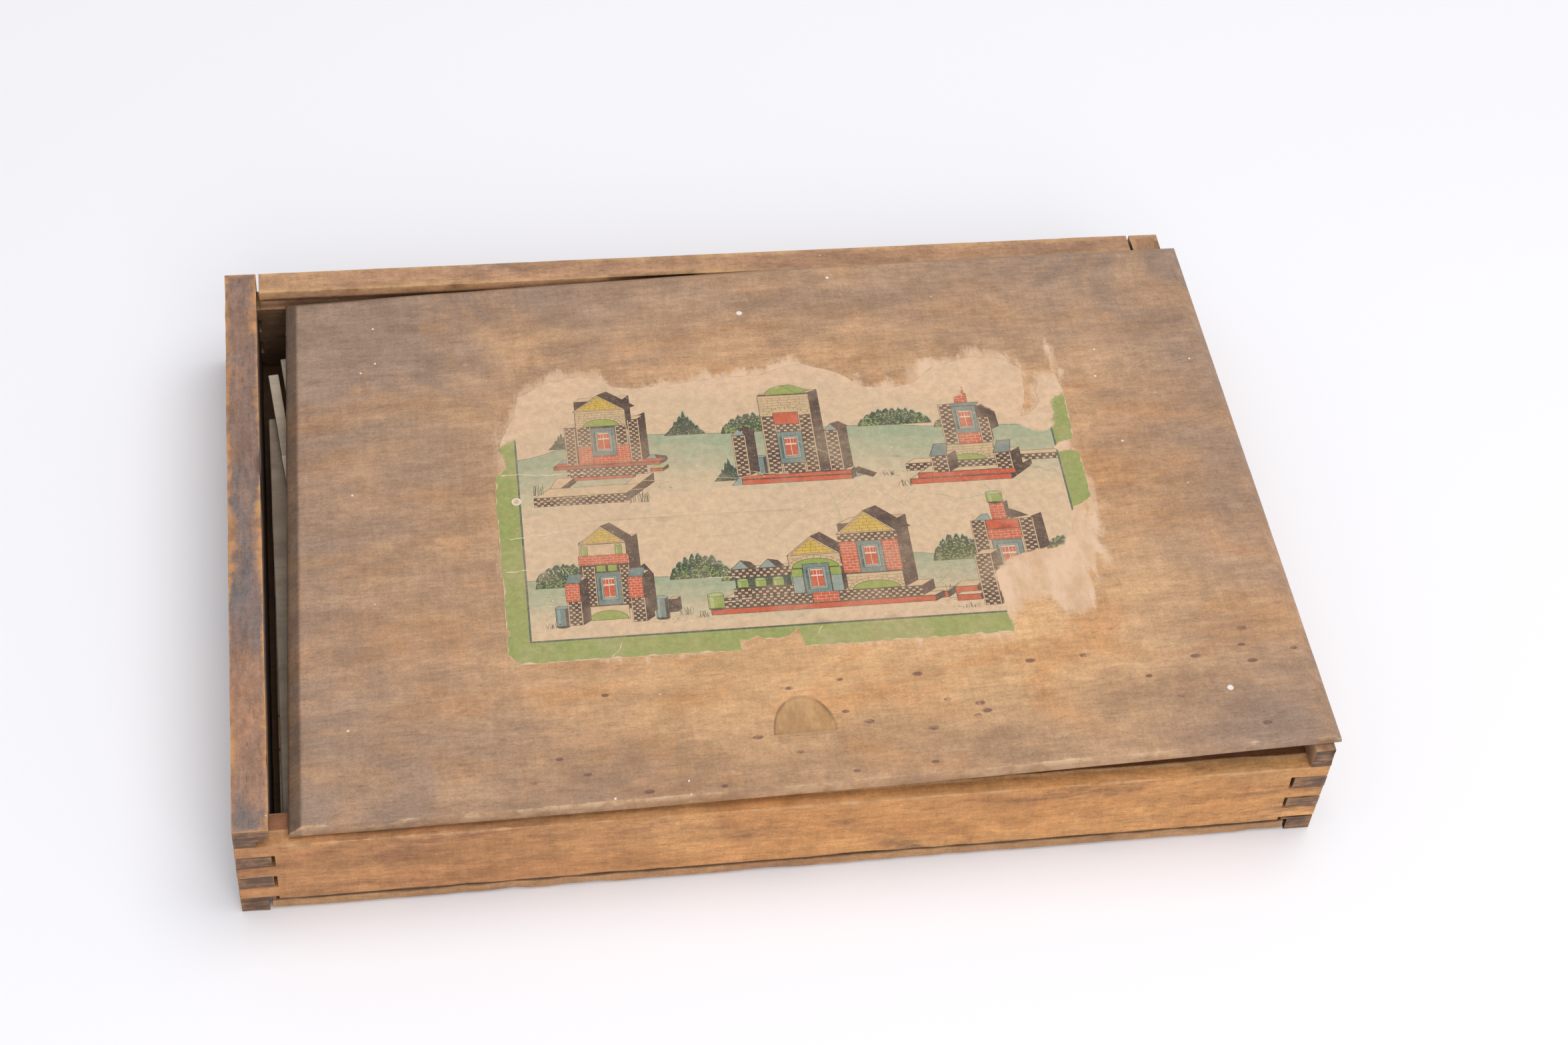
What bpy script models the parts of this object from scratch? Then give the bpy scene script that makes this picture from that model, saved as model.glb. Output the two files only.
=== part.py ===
"""A wooden sliding-lid box that holds a flat building puzzle.

The lid is out of its grooves: its left edge has dropped onto the front wall and its right part
lies across the top of the right wall. Metres, X along the box, Y from front to back, Z up. Pieces
are placed from the box's outer front left bottom corner; the row's origin is the footprint's centre.
"""

from math import atan, cos, radians

import bmesh
import bpy
from mathutils import Matrix, Vector

NAME = "sliding_lid_puzzle_box"

# Box
BOX_LENGTH = 0.320
BOX_DEPTH = 0.2264
BOX_HEIGHT = 0.039
SIDE_WALL = 0.0102
FRONT_WALL = 0.0116
BACK_WALL = 0.0094
FRONT_WALL_TOP = 0.03125
BOTTOM_BOARD = (0.0006, 0.0049)
REBATE_DEPTH = 0.0020

# Finger joints: side wall and front wall take turns, from the bottom up
FIRST_FINGER = 0.0065
FINGER = 0.00495
FINGER_COUNT = 5
SOCKET_SPARE = 0.0008

# Grooves for the lid, in the side walls and the back wall
GROOVE_DEPTH = 0.0038
GROOVE_MOUTH_TOP = 0.0354
GROOVE_INNER_TOP = 0.0336
BROKEN_LIP_LENGTH = 0.012

# Lid, in its own plane: a board that is a little out of square
LID_THICKNESS = 0.0048
LID_FRONT_LEFT = Vector((0.0153, 0.0023))
LID_FRONT_RIGHT = Vector((0.3218, 0.0023))
LID_BACK_RIGHT = Vector((0.3237, 0.2162))
LID_BACK_LEFT = Vector((0.0194, 0.2162))
LID_THIN_EDGE = 0.00185
LID_BEVEL = 0.0039
LID_LEFT_HEIGHT = FRONT_WALL_TOP + 0.0003
LID_RIGHT_HEIGHT = BOX_HEIGHT + 0.0003
SCOOP_CENTRE = Vector((0.1645, 0.0205))
SCOOP_RADII = (0.0091, 0.0133, 0.0020)
LABEL_LOW = Vector((0.0808, 0.0516))
LABEL_HIGH = Vector((0.2696, 0.1715))
LABEL_THICKNESS = 0.0003

# Contents
PIECE_THICKNESS = 0.012
PIECE_GAP = 0.0006
FIRST_PIECE = Vector((0.0125, 0.0125))
ARCH_RADIUS = 0.0112
LONG_BOARD_THICKNESS = 0.0040
LATH_WIDTH = 0.0034
LATH_THICKNESS = 0.0038

CLEARANCE = 0.0003
PAST = 0.001

INNER_LEFT = SIDE_WALL
INNER_RIGHT = BOX_LENGTH - SIDE_WALL
INNER_BACK = BOX_DEPTH - BACK_WALL
LID_TILT = atan((LID_RIGHT_HEIGHT - LID_LEFT_HEIGHT) / (INNER_RIGHT - LID_FRONT_LEFT.x))
OVERALL_LENGTH = LID_BACK_RIGHT.x * cos(LID_TILT)

# Each row of pieces: how deep it is, how far right it starts, and its pieces with their widths
ROWS = (
    (0.032, 0.0, (("window", 0.032), ("brick", 0.032), ("arch", 0.048), ("window", 0.032),
                  ("brick", 0.032), ("arch", 0.048), ("window", 0.032), ("brick", 0.032))),
    (0.012, 0.0, (("plank", 0.096), ("plank", 0.096), ("plank", 0.096))),
    (0.046, 0.0, (("pillar", 0.016), ("pillar", 0.016), ("gables", 0.048), ("pillar", 0.016),
                  ("panel", 0.032), ("pillar", 0.016), ("pillar", 0.016), ("panel", 0.032),
                  ("pillar", 0.016), ("gables", 0.048), ("pillar", 0.016), ("pillar", 0.016))),
    (0.032, 0.0, (("brick", 0.032), ("window", 0.032), ("brick", 0.032), ("window", 0.032),
                  ("arch", 0.048), ("brick", 0.032), ("window", 0.032), ("arch", 0.048))),
    (0.012, 0.0, (("plank", 0.096), ("plank", 0.096), ("plank", 0.096))),
    (0.032, 0.128, (("disc", 0.030), ("disc", 0.030), ("brick", 0.032), ("disc", 0.030),
                    ("window", 0.032))),
)

PIECE_NAMES = {
    "window": "window_block", "brick": "brick_block", "arch": "arch_block", "plank": "base_plank",
    "pillar": "pillar_block", "panel": "wall_panel", "gables": "gable_block", "disc": "round_block",
}

WOOD_COLOURS = {
    "front_wall": (0.27, 0.13, 0.07), "back_wall": (0.22, 0.12, 0.07), "left_wall": (0.13, 0.08, 0.07),
    "right_wall": (0.18, 0.10, 0.07), "bottom_board": (0.24, 0.15, 0.09), "lid": (0.23, 0.13, 0.09),
    "lid_label": (0.55, 0.50, 0.38), "long_board": (0.24, 0.19, 0.14), "lath": (0.40, 0.35, 0.27),
    "window_block": (0.20, 0.27, 0.30), "brick_block": (0.42, 0.13, 0.08),
    "arch_block": (0.48, 0.43, 0.33), "arch_filler": (0.14, 0.25, 0.12),
    "base_plank": (0.45, 0.12, 0.07), "pillar_block": (0.30, 0.28, 0.22),
    "wall_panel": (0.46, 0.38, 0.25), "gable_block": (0.50, 0.36, 0.12),
    "round_block": (0.22, 0.28, 0.22),
}


def clear_scene():
    for old in list(bpy.data.objects):
        bpy.data.objects.remove(old, do_unlink=True)


def collection(name):
    made = bpy.data.collections.new(name)
    bpy.context.scene.collection.children.link(made)
    return made


def object_from(bm, name, group):
    bmesh.ops.recalc_face_normals(bm, faces=bm.faces)
    mesh = bpy.data.meshes.new(name)
    bm.to_mesh(mesh)
    bm.free()
    made = bpy.data.objects.new(name, mesh)
    group.objects.link(made)
    made.parent = corner
    return made


def material(name, colour, roughness=0.6):
    made = bpy.data.materials.new(name)
    made.use_nodes = True
    shader = made.node_tree.nodes["Principled BSDF"]
    shader.inputs["Base Color"].default_value = (*colour, 1.0)
    shader.inputs["Roughness"].default_value = roughness
    shader.inputs["Metallic"].default_value = 0.0
    return made


def add_box(bm, low, high):
    """Adds the box between two corners and returns its vertices."""
    low, high = Vector(low), Vector(high)
    scaling = Matrix.Diagonal((*(high - low), 1.0))
    placing = Matrix.Translation((low + high) / 2) @ scaling
    return bmesh.ops.create_cube(bm, size=1.0, matrix=placing)["verts"]


def slice_off(bm, point, normal):
    """Cuts away what lies beyond a plane and closes the cut."""
    everything = list(bm.verts) + list(bm.edges) + list(bm.faces)
    bmesh.ops.bisect_plane(bm, geom=everything, plane_co=point, plane_no=normal, clear_outer=True)
    rim = [edge for edge in bm.edges if edge.is_boundary]
    bmesh.ops.holes_fill(bm, edges=rim, sides=0)


def finish_piece(bm, name, kind=None):
    made = object_from(bm, name, parts)
    made.data.materials.append(material(name, WOOD_COLOURS[kind or name]))
    return made


def cut(target, cutter):
    cutter.hide_render = True
    cutter.display_type = "WIRE"
    modifier = target.modifiers.new(cutter.name, "BOOLEAN")
    modifier.operation = "DIFFERENCE"
    modifier.solver = "EXACT"
    modifier.object = cutter


def finger_levels():
    """The heights that belong to the front and back walls, and those of the side walls."""
    edges = [FIRST_FINGER + FINGER * step for step in range(FINGER_COUNT + 1)]
    front = [(edges[step], edges[step + 1]) for step in range(0, FINGER_COUNT, 2)]
    side = [(0.0, edges[0])]
    side += [(edges[step], edges[step + 1]) for step in range(1, FINGER_COUNT, 2)]
    side.append((edges[-1], BOX_HEIGHT + PAST))
    return front, side


def add_groove(bm, low, high, inward):
    """A groove cutter whose roof comes down towards the groove's depth, away from inward."""
    middle = (Vector(low) + Vector(high)) / 2
    for vert in add_box(bm, low, high):
        deep = (vert.co - middle).dot(inward) < 0
        if deep and vert.co.z > middle.z:
            vert.co.z = GROOVE_INNER_TOP


def side_wall(name, outer, inner, inward):
    low_x, high_x = min(outer, inner), max(outer, inner)
    body = bmesh.new()
    add_box(body, (low_x, 0, 0), (high_x, BOX_DEPTH, BOX_HEIGHT))
    wall = finish_piece(body, name)

    sockets = bmesh.new()
    front_levels, _ = finger_levels()
    half = CLEARANCE / 2
    for bottom, top in front_levels:
        add_box(sockets, (low_x - PAST, -PAST, bottom - half),
                (high_x + PAST, FRONT_WALL + CLEARANCE, top + half))
        add_box(sockets, (low_x - PAST, INNER_BACK - CLEARANCE, bottom - half),
                (high_x + PAST, BOX_DEPTH + PAST, top + half))
    cut(wall, object_from(sockets, name + "_sockets", cutters))

    rebate = bmesh.new()
    shelf = inner - inward * REBATE_DEPTH
    add_box(rebate, (min(shelf, inner + inward * PAST), -PAST, -PAST),
            (max(shelf, inner + inward * PAST), BOX_DEPTH + PAST, BOTTOM_BOARD[1] + CLEARANCE))
    cut(wall, object_from(rebate, name + "_rebate", cutters))

    groove = bmesh.new()
    deep = inner - inward * GROOVE_DEPTH
    open_side = inner + inward * PAST
    add_groove(groove, (min(deep, open_side), -PAST, FRONT_WALL_TOP),
               (max(deep, open_side), INNER_BACK + GROOVE_DEPTH, GROOVE_MOUTH_TOP),
               Vector((inward, 0, 0)))
    cut(wall, object_from(groove, name + "_groove", cutters))
    return wall


def end_wall(name, outer, inner, top):
    """The front or back wall: fingers at both ends, between the side walls' fingers."""
    low_y, high_y = min(outer, inner), max(outer, inner)
    body = bmesh.new()
    add_box(body, (0, low_y, BOTTOM_BOARD[1] + CLEARANCE), (BOX_LENGTH, high_y, top))
    wall = finish_piece(body, name)

    notches = bmesh.new()
    _, side_levels = finger_levels()
    half = CLEARANCE / 2
    for bottom, level_top in side_levels:
        if bottom < top:
            add_box(notches, (-PAST, low_y - PAST, bottom - half),
                    (INNER_LEFT + SOCKET_SPARE, high_y + PAST, level_top + half))
            add_box(notches, (INNER_RIGHT - SOCKET_SPARE, low_y - PAST, bottom - half),
                    (BOX_LENGTH + PAST, high_y + PAST, level_top + half))
    cut(wall, object_from(notches, name + "_notches", cutters))
    return wall


def make_box():
    side_wall("left_wall", 0.0, INNER_LEFT, 1)
    right = side_wall("right_wall", BOX_LENGTH, INNER_RIGHT, -1)
    lip = bmesh.new()
    add_box(lip, (INNER_RIGHT - PAST, -PAST, FRONT_WALL_TOP + CLEARANCE),
            (INNER_RIGHT + GROOVE_DEPTH, BROKEN_LIP_LENGTH, BOX_HEIGHT + PAST))
    cut(right, object_from(lip, "right_wall_broken_lip", cutters))

    end_wall("front_wall", 0.0, FRONT_WALL, FRONT_WALL_TOP)
    back = end_wall("back_wall", BOX_DEPTH, INNER_BACK, BOX_HEIGHT)
    groove = bmesh.new()
    add_groove(groove, (-PAST, INNER_BACK - PAST, FRONT_WALL_TOP),
               (BOX_LENGTH + PAST, INNER_BACK + GROOVE_DEPTH, GROOVE_MOUTH_TOP), Vector((0, -1, 0)))
    cut(back, object_from(groove, "back_wall_groove", cutters))

    bottom = bmesh.new()
    edge = SIDE_WALL - REBATE_DEPTH + CLEARANCE
    add_box(bottom, (edge, 0, BOTTOM_BOARD[0]), (BOX_LENGTH - edge, BOX_DEPTH, BOTTOM_BOARD[1]))
    finish_piece(bottom, "bottom_board")


def on_lid(made):
    made.location = (0, 0, LID_LEFT_HEIGHT - LID_FRONT_LEFT.x * LID_TILT)
    made.rotation_euler = (0, -LID_TILT, 0)
    return made


def make_lid():
    """The lid: bevelled above on its left, right and back edges, square at the front."""
    body = bmesh.new()
    middle = (LID_FRONT_LEFT + LID_BACK_RIGHT) / 2
    for vert in add_box(body, (*LID_FRONT_LEFT, 0), (*LID_BACK_RIGHT, LID_THICKNESS)):
        left, front = vert.co.x < middle.x, vert.co.y < middle.y
        if left:
            outline = LID_FRONT_LEFT if front else LID_BACK_LEFT
        else:
            outline = LID_FRONT_RIGHT if front else LID_BACK_RIGHT
        vert.co.x, vert.co.y = outline
    bevelled = (
        (LID_BACK_LEFT, LID_FRONT_LEFT),
        (LID_FRONT_RIGHT, LID_BACK_RIGHT),
        (LID_BACK_RIGHT, LID_BACK_LEFT),
    )
    for start, end in bevelled:
        along = (end - start).normalized()
        outward = Vector((along.y, -along.x, 0))
        rise = LID_THICKNESS - LID_THIN_EDGE
        normal = outward * rise + Vector((0, 0, LID_BEVEL))
        slice_off(body, Vector((*start, LID_THIN_EDGE)), normal)
    lid = on_lid(finish_piece(body, "lid"))

    scoop = bmesh.new()
    bmesh.ops.create_uvsphere(scoop, u_segments=24, v_segments=12, radius=1.0)
    slice_off(scoop, (0, 0, 0), (0, -1, 0))
    placing = Matrix.Translation((*SCOOP_CENTRE, LID_THICKNESS)) @ Matrix.Diagonal((*SCOOP_RADII, 1.0))
    bmesh.ops.transform(scoop, matrix=placing, verts=scoop.verts)
    cut(lid, on_lid(object_from(scoop, "lid_thumb_scoop", cutters)))

    label = bmesh.new()
    under = LID_THICKNESS + CLEARANCE
    add_box(label, (*LABEL_LOW, under), (*LABEL_HIGH, under + LABEL_THICKNESS))
    on_lid(finish_piece(label, "lid_label"))


def gable(width, depth):
    body = bmesh.new()
    add_box(body, (0, 0, 0), (width, depth, PIECE_THICKNESS))
    ridge = (width / 2, depth, 0)
    slice_off(body, ridge, (-depth, width / 2, 0))
    slice_off(body, ridge, (depth, width / 2, 0))
    return body


def disc(width, radius):
    body = bmesh.new()
    bmesh.ops.create_cone(body, cap_ends=True, segments=40, radius1=radius, radius2=radius,
                          depth=PIECE_THICKNESS,
                          matrix=Matrix.Translation((width / 2, 0, PIECE_THICKNESS / 2)))
    return body


def make_pieces():
    """The puzzle's flat blocks, in rows on the bottom board."""
    counts = dict.fromkeys(list(PIECE_NAMES.values()) + ["arch_filler"], 0)
    floor = BOTTOM_BOARD[1] + CLEARANCE

    def place(bm, kind, x, y):
        counts[kind] += 1
        made = finish_piece(bm, f"{kind}_{counts[kind]}", kind)
        made.location = (x, y, floor)
        return made

    y = FIRST_PIECE.y
    for depth, start, pieces in ROWS:
        x = FIRST_PIECE.x + start
        for short_name, width in pieces:
            kind = PIECE_NAMES[short_name]
            if short_name == "gables":
                height = (depth - PIECE_GAP) / 2
                place(gable(width, height), kind, x, y)
                place(gable(width, height), kind, x, y + height + PIECE_GAP)
            elif short_name == "disc":
                place(disc(width, width / 2), kind, x, y + depth / 2)
            else:
                body = bmesh.new()
                add_box(body, (0, 0, 0), (width, depth, PIECE_THICKNESS))
                made = place(body, kind, x, y)
            if short_name == "arch":
                opening = disc(width, ARCH_RADIUS)
                bmesh.ops.scale(opening, vec=(1, 1, 2), verts=opening.verts)
                opening_object = object_from(opening, made.name + "_opening", cutters)
                opening_object.location = (x, y, floor - PIECE_THICKNESS / 2)
                cut(made, opening_object)
                filler = disc(width, ARCH_RADIUS - CLEARANCE)
                slice_off(filler, (0, 0, 0), (0, -1, 0))
                place(filler, "arch_filler", x, y)
            x += width + PIECE_GAP
        y += depth + PIECE_GAP


def make_boards():
    """A long board and three laths, loose on top of the blocks along the left wall."""
    level = BOTTOM_BOARD[1] + PIECE_THICKNESS + 2 * CLEARANCE
    board = bmesh.new()
    add_box(board, (0, 0, 0), (0.030, 0.162, LONG_BOARD_THICKNESS))
    made = finish_piece(board, "long_board")
    made.location = (0.0134, 0.0142, level)
    made.rotation_euler = (0, 0, radians(0.4))

    level += LONG_BOARD_THICKNESS + CLEARANCE
    upper = level + LATH_THICKNESS + CLEARANCE
    laths = (
        ("lath_1", (0.0127, 0.1920, level), 0.112, 5.6),
        ("lath_2", (0.0168, 0.1992, level), 0.112, 5.6),
        ("lath_3", (0.0164, 0.1516, upper), 0.070, 6.4),
    )
    for name, back_left, length, turn in laths:
        lath = bmesh.new()
        add_box(lath, (0, -length, 0), (LATH_WIDTH, 0, LATH_THICKNESS))
        made = finish_piece(lath, name, "lath")
        made.location = back_left
        made.rotation_euler = (0, 0, radians(turn))


clear_scene()
parts = collection(NAME)
cutters = collection(NAME + "_cutters")
corner = bpy.data.objects.new("box_front_left_bottom_corner", None)
parts.objects.link(corner)
corner.location = (-OVERALL_LENGTH / 2, -BOX_DEPTH / 2, 0)
make_box()
make_lid()
make_pieces()
make_boards()
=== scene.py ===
"""Looks of the boxed building puzzle: worn stained wood, a torn picture label and printed blocks."""

import math
import random

import bmesh
import bpy
import numpy as np
from mathutils import Matrix, Vector, geometry, noise


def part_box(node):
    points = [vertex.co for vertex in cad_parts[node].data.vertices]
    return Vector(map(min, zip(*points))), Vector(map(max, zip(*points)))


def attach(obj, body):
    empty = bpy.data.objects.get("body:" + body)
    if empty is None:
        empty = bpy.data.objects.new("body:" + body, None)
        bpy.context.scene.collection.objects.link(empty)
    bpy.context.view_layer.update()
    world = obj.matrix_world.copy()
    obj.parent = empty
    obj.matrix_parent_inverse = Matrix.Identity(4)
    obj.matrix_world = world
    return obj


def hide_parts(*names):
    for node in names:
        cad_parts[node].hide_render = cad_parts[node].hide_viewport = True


MM = 0.001
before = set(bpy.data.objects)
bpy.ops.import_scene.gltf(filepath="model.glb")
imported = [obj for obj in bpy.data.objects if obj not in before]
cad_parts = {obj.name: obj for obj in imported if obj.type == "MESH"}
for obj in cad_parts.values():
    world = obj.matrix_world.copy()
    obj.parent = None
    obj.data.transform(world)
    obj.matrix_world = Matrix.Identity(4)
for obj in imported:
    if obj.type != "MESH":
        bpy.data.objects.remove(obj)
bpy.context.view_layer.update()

# Places from the frame
BOX_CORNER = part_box("left_wall")[0]
INNER_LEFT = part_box("left_wall")[1].x
INNER_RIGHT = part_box("right_wall")[0].x
WALL_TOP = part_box("left_wall")[1].z


# ---------------------------------------------------------------- camera, floor and light

CAMERA_LENS = 61.545
CAMERA_PLACE = (43.75, -442.96, 656.54)  # in mm from the box's front left corner on the floor
CAMERA_TURN, CAMERA_TILT, CAMERA_ROLL = -13.0231, 42.1888, 6.3021  # in degrees

def make_camera():
    """The photograph's view: high in front, a little left of the middle."""
    data = bpy.data.cameras.new("camera")
    data.lens = CAMERA_LENS
    data.sensor_width = 36.0
    camera = bpy.data.objects.new("camera", data)
    bpy.context.scene.collection.objects.link(camera)
    turn = Matrix.Rotation(math.radians(CAMERA_TURN), 4, "Z")
    tilt = Matrix.Rotation(math.radians(CAMERA_TILT), 4, "X")
    roll = Matrix.Rotation(math.radians(CAMERA_ROLL), 4, "Z")
    corner = Vector((BOX_CORNER.x, BOX_CORNER.y, 0))
    place = Matrix.Translation(corner + Vector(CAMERA_PLACE) * MM)
    camera.matrix_world = place @ turn @ tilt @ roll
    bpy.context.scene.camera = camera


def area_light(name, location, size, power, colour):
    """A round light that faces the middle of the frame."""
    data = bpy.data.lights.new(name, "AREA")
    data.shape = "DISK"
    data.size = size
    data.energy = power
    data.color = colour
    light = bpy.data.objects.new(name, data)
    bpy.context.scene.collection.objects.link(light)
    light.location = location
    light.rotation_euler = (-Vector(location)).to_track_quat("-Z", "Y").to_euler()


def make_stage():
    floor_mesh = bpy.data.meshes.new("floor")
    bm = bmesh.new()
    bmesh.ops.create_grid(bm, x_segments=8, y_segments=8, size=3.0)
    bm.to_mesh(floor_mesh)
    bm.free()
    floor = bpy.data.objects.new("floor", floor_mesh)
    bpy.context.scene.collection.objects.link(floor)
    paint = bpy.data.materials.new("floor_paper")
    paint.use_nodes = True
    shader = paint.node_tree.nodes["Principled BSDF"]
    shader.inputs["Base Color"].default_value = (0.90, 0.895, 0.925, 1)
    shader.inputs["Roughness"].default_value = 0.9
    floor_mesh.materials.append(paint)

    world = bpy.data.worlds.new("studio")
    bpy.context.scene.world = world
    world.use_nodes = True
    background = world.node_tree.nodes["Background"]
    background.inputs["Color"].default_value = (0.96, 0.97, 1.0, 1)
    background.inputs["Strength"].default_value = 0.53
    area_light("overhead", (0.5, 0.12, 2.0), 2.0, 20, (1.0, 0.995, 0.98))
    area_light("front", (0.1, -1.6, 1.15), 1.5, 16, (1.0, 0.99, 0.98))
    bpy.context.scene.view_settings.view_transform = "Standard"


# ---------------------------------------------------------------- shader building

class Nodes:
    """Short calls for building one material's nodes."""

    def __init__(self, name):
        self.material = bpy.data.materials.new(name)
        self.material.use_nodes = True
        self.tree = self.material.node_tree
        self.shader = self.tree.nodes["Principled BSDF"]
        self.place = self.tree.nodes.new("ShaderNodeTexCoord").outputs["Object"]

    def node(self, kind, inputs, **settings):
        made = self.tree.nodes.new(kind)
        for key, value in settings.items():
            setattr(made, key, value)
        for key, value in inputs.items():
            self.feed(made.inputs[key], value)
        return made

    def feed(self, socket, value):
        if isinstance(value, bpy.types.NodeSocket):
            self.tree.links.new(value, socket)
        elif isinstance(value, (tuple, list)) and len(value) == 3 and socket.type == "RGBA":
            socket.default_value = (*value, 1.0)
        else:
            socket.default_value = value

    def math(self, operation, a, b=0.0, clamp=False):
        made = self.node("ShaderNodeMath", {0: a, 1: b}, operation=operation, use_clamp=clamp)
        return made.outputs[0]

    def plus(self, a, b, clamp=False):
        return self.math("ADD", a, b, clamp)

    def minus(self, a, b):
        return self.math("SUBTRACT", a, b)

    def times(self, a, b, clamp=False):
        return self.math("MULTIPLY", a, b, clamp)

    def stretch(self, scale, shift=(0, 0, 0)):
        scale = (scale, scale, scale) if isinstance(scale, (int, float)) else scale
        made = self.node("ShaderNodeMapping", {"Vector": self.place, "Scale": scale, "Location": shift})
        return made.outputs[0]

    def noise(self, scale, detail=4.0, rough=0.55, warp=0.0, shift=(0, 0, 0)):
        """Noise of about one lump per 1/scale metres along each axis."""
        vector = self.stretch(scale, shift)
        made = self.node("ShaderNodeTexNoise", {"Vector": vector, "Scale": 1.0, "Detail": detail,
                                                "Roughness": rough, "Distortion": warp})
        return made.outputs["Fac"]

    def dots(self, scale, share, radius, strength, flat=False):
        """Scattered spots: a share of the cells carries one. Flat ones leave height out."""
        made = self.node("ShaderNodeTexVoronoi", {"Vector": self.stretch(scale), "Scale": 1.0},
                         voronoi_dimensions="2D" if flat else "3D")
        lottery = self.node("ShaderNodeSeparateColor", {"Color": made.outputs["Color"]}).outputs[0]
        spot = self.steps(made.outputs["Distance"], radius * 1.5, radius, 0, strength)
        return self.times(spot, self.math("LESS_THAN", lottery, share))

    def steps(self, value, low, high, to_low=0.0, to_high=1.0):
        """Value between low and high, eased onto another range."""
        made = self.node("ShaderNodeMapRange", {"Value": value, "From Min": low, "From Max": high,
                                                "To Min": to_low, "To Max": to_high},
                         interpolation_type="SMOOTHSTEP")
        return made.outputs["Result"]

    def mix(self, amount, a, b):
        return self.node("ShaderNodeMix", {0: amount, 6: a, 7: b}, data_type="RGBA").outputs[2]

    def over(self, colour, value, low, high, most, tint):
        """Lays a tint over a colour, from nothing where the value is low to the most where it is high."""
        return self.mix(self.steps(value, low, high, 0, most), colour, tint)

    def brighten(self, colour, factor):
        return self.node("ShaderNodeVectorMath", {0: colour, 3: factor}, operation="SCALE").outputs[0]

    def axes(self):
        return self.node("ShaderNodeSeparateXYZ", {"Vector": self.place}).outputs

    def bump(self, height, distance, strength):
        inputs = {"Height": height, "Distance": distance, "Strength": strength}
        return self.node("ShaderNodeBump", inputs).outputs[0]

    def surface(self, colour, roughness, height, depth, strength):
        self.feed(self.shader.inputs["Base Color"], colour)
        self.feed(self.shader.inputs["Roughness"], roughness)
        self.feed(self.shader.inputs["Normal"], self.bump(height, depth, strength))

    def arris_distance(self, low, high):
        """How far a point on a board's surface is from the board's nearest outer edge."""
        reach = []
        for axis, value in enumerate(self.axes()):
            reach.append(self.math("MINIMUM", self.minus(value, low[axis]),
                                   self.minus(high[axis], value)))
        least = self.math("MINIMUM", reach[0], reach[1])
        most = self.math("MAXIMUM", reach[0], reach[1])
        return self.math("MAXIMUM", least, self.math("MINIMUM", most, reach[2]))

    def attribute(self, name):
        return self.node("ShaderNodeAttribute", {}, attribute_name=name).outputs


def along_grain(along, length, across):
    """Noise scale for marks that run with the grain."""
    return (length, across, across) if along == "X" else (across, length, across)


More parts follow.
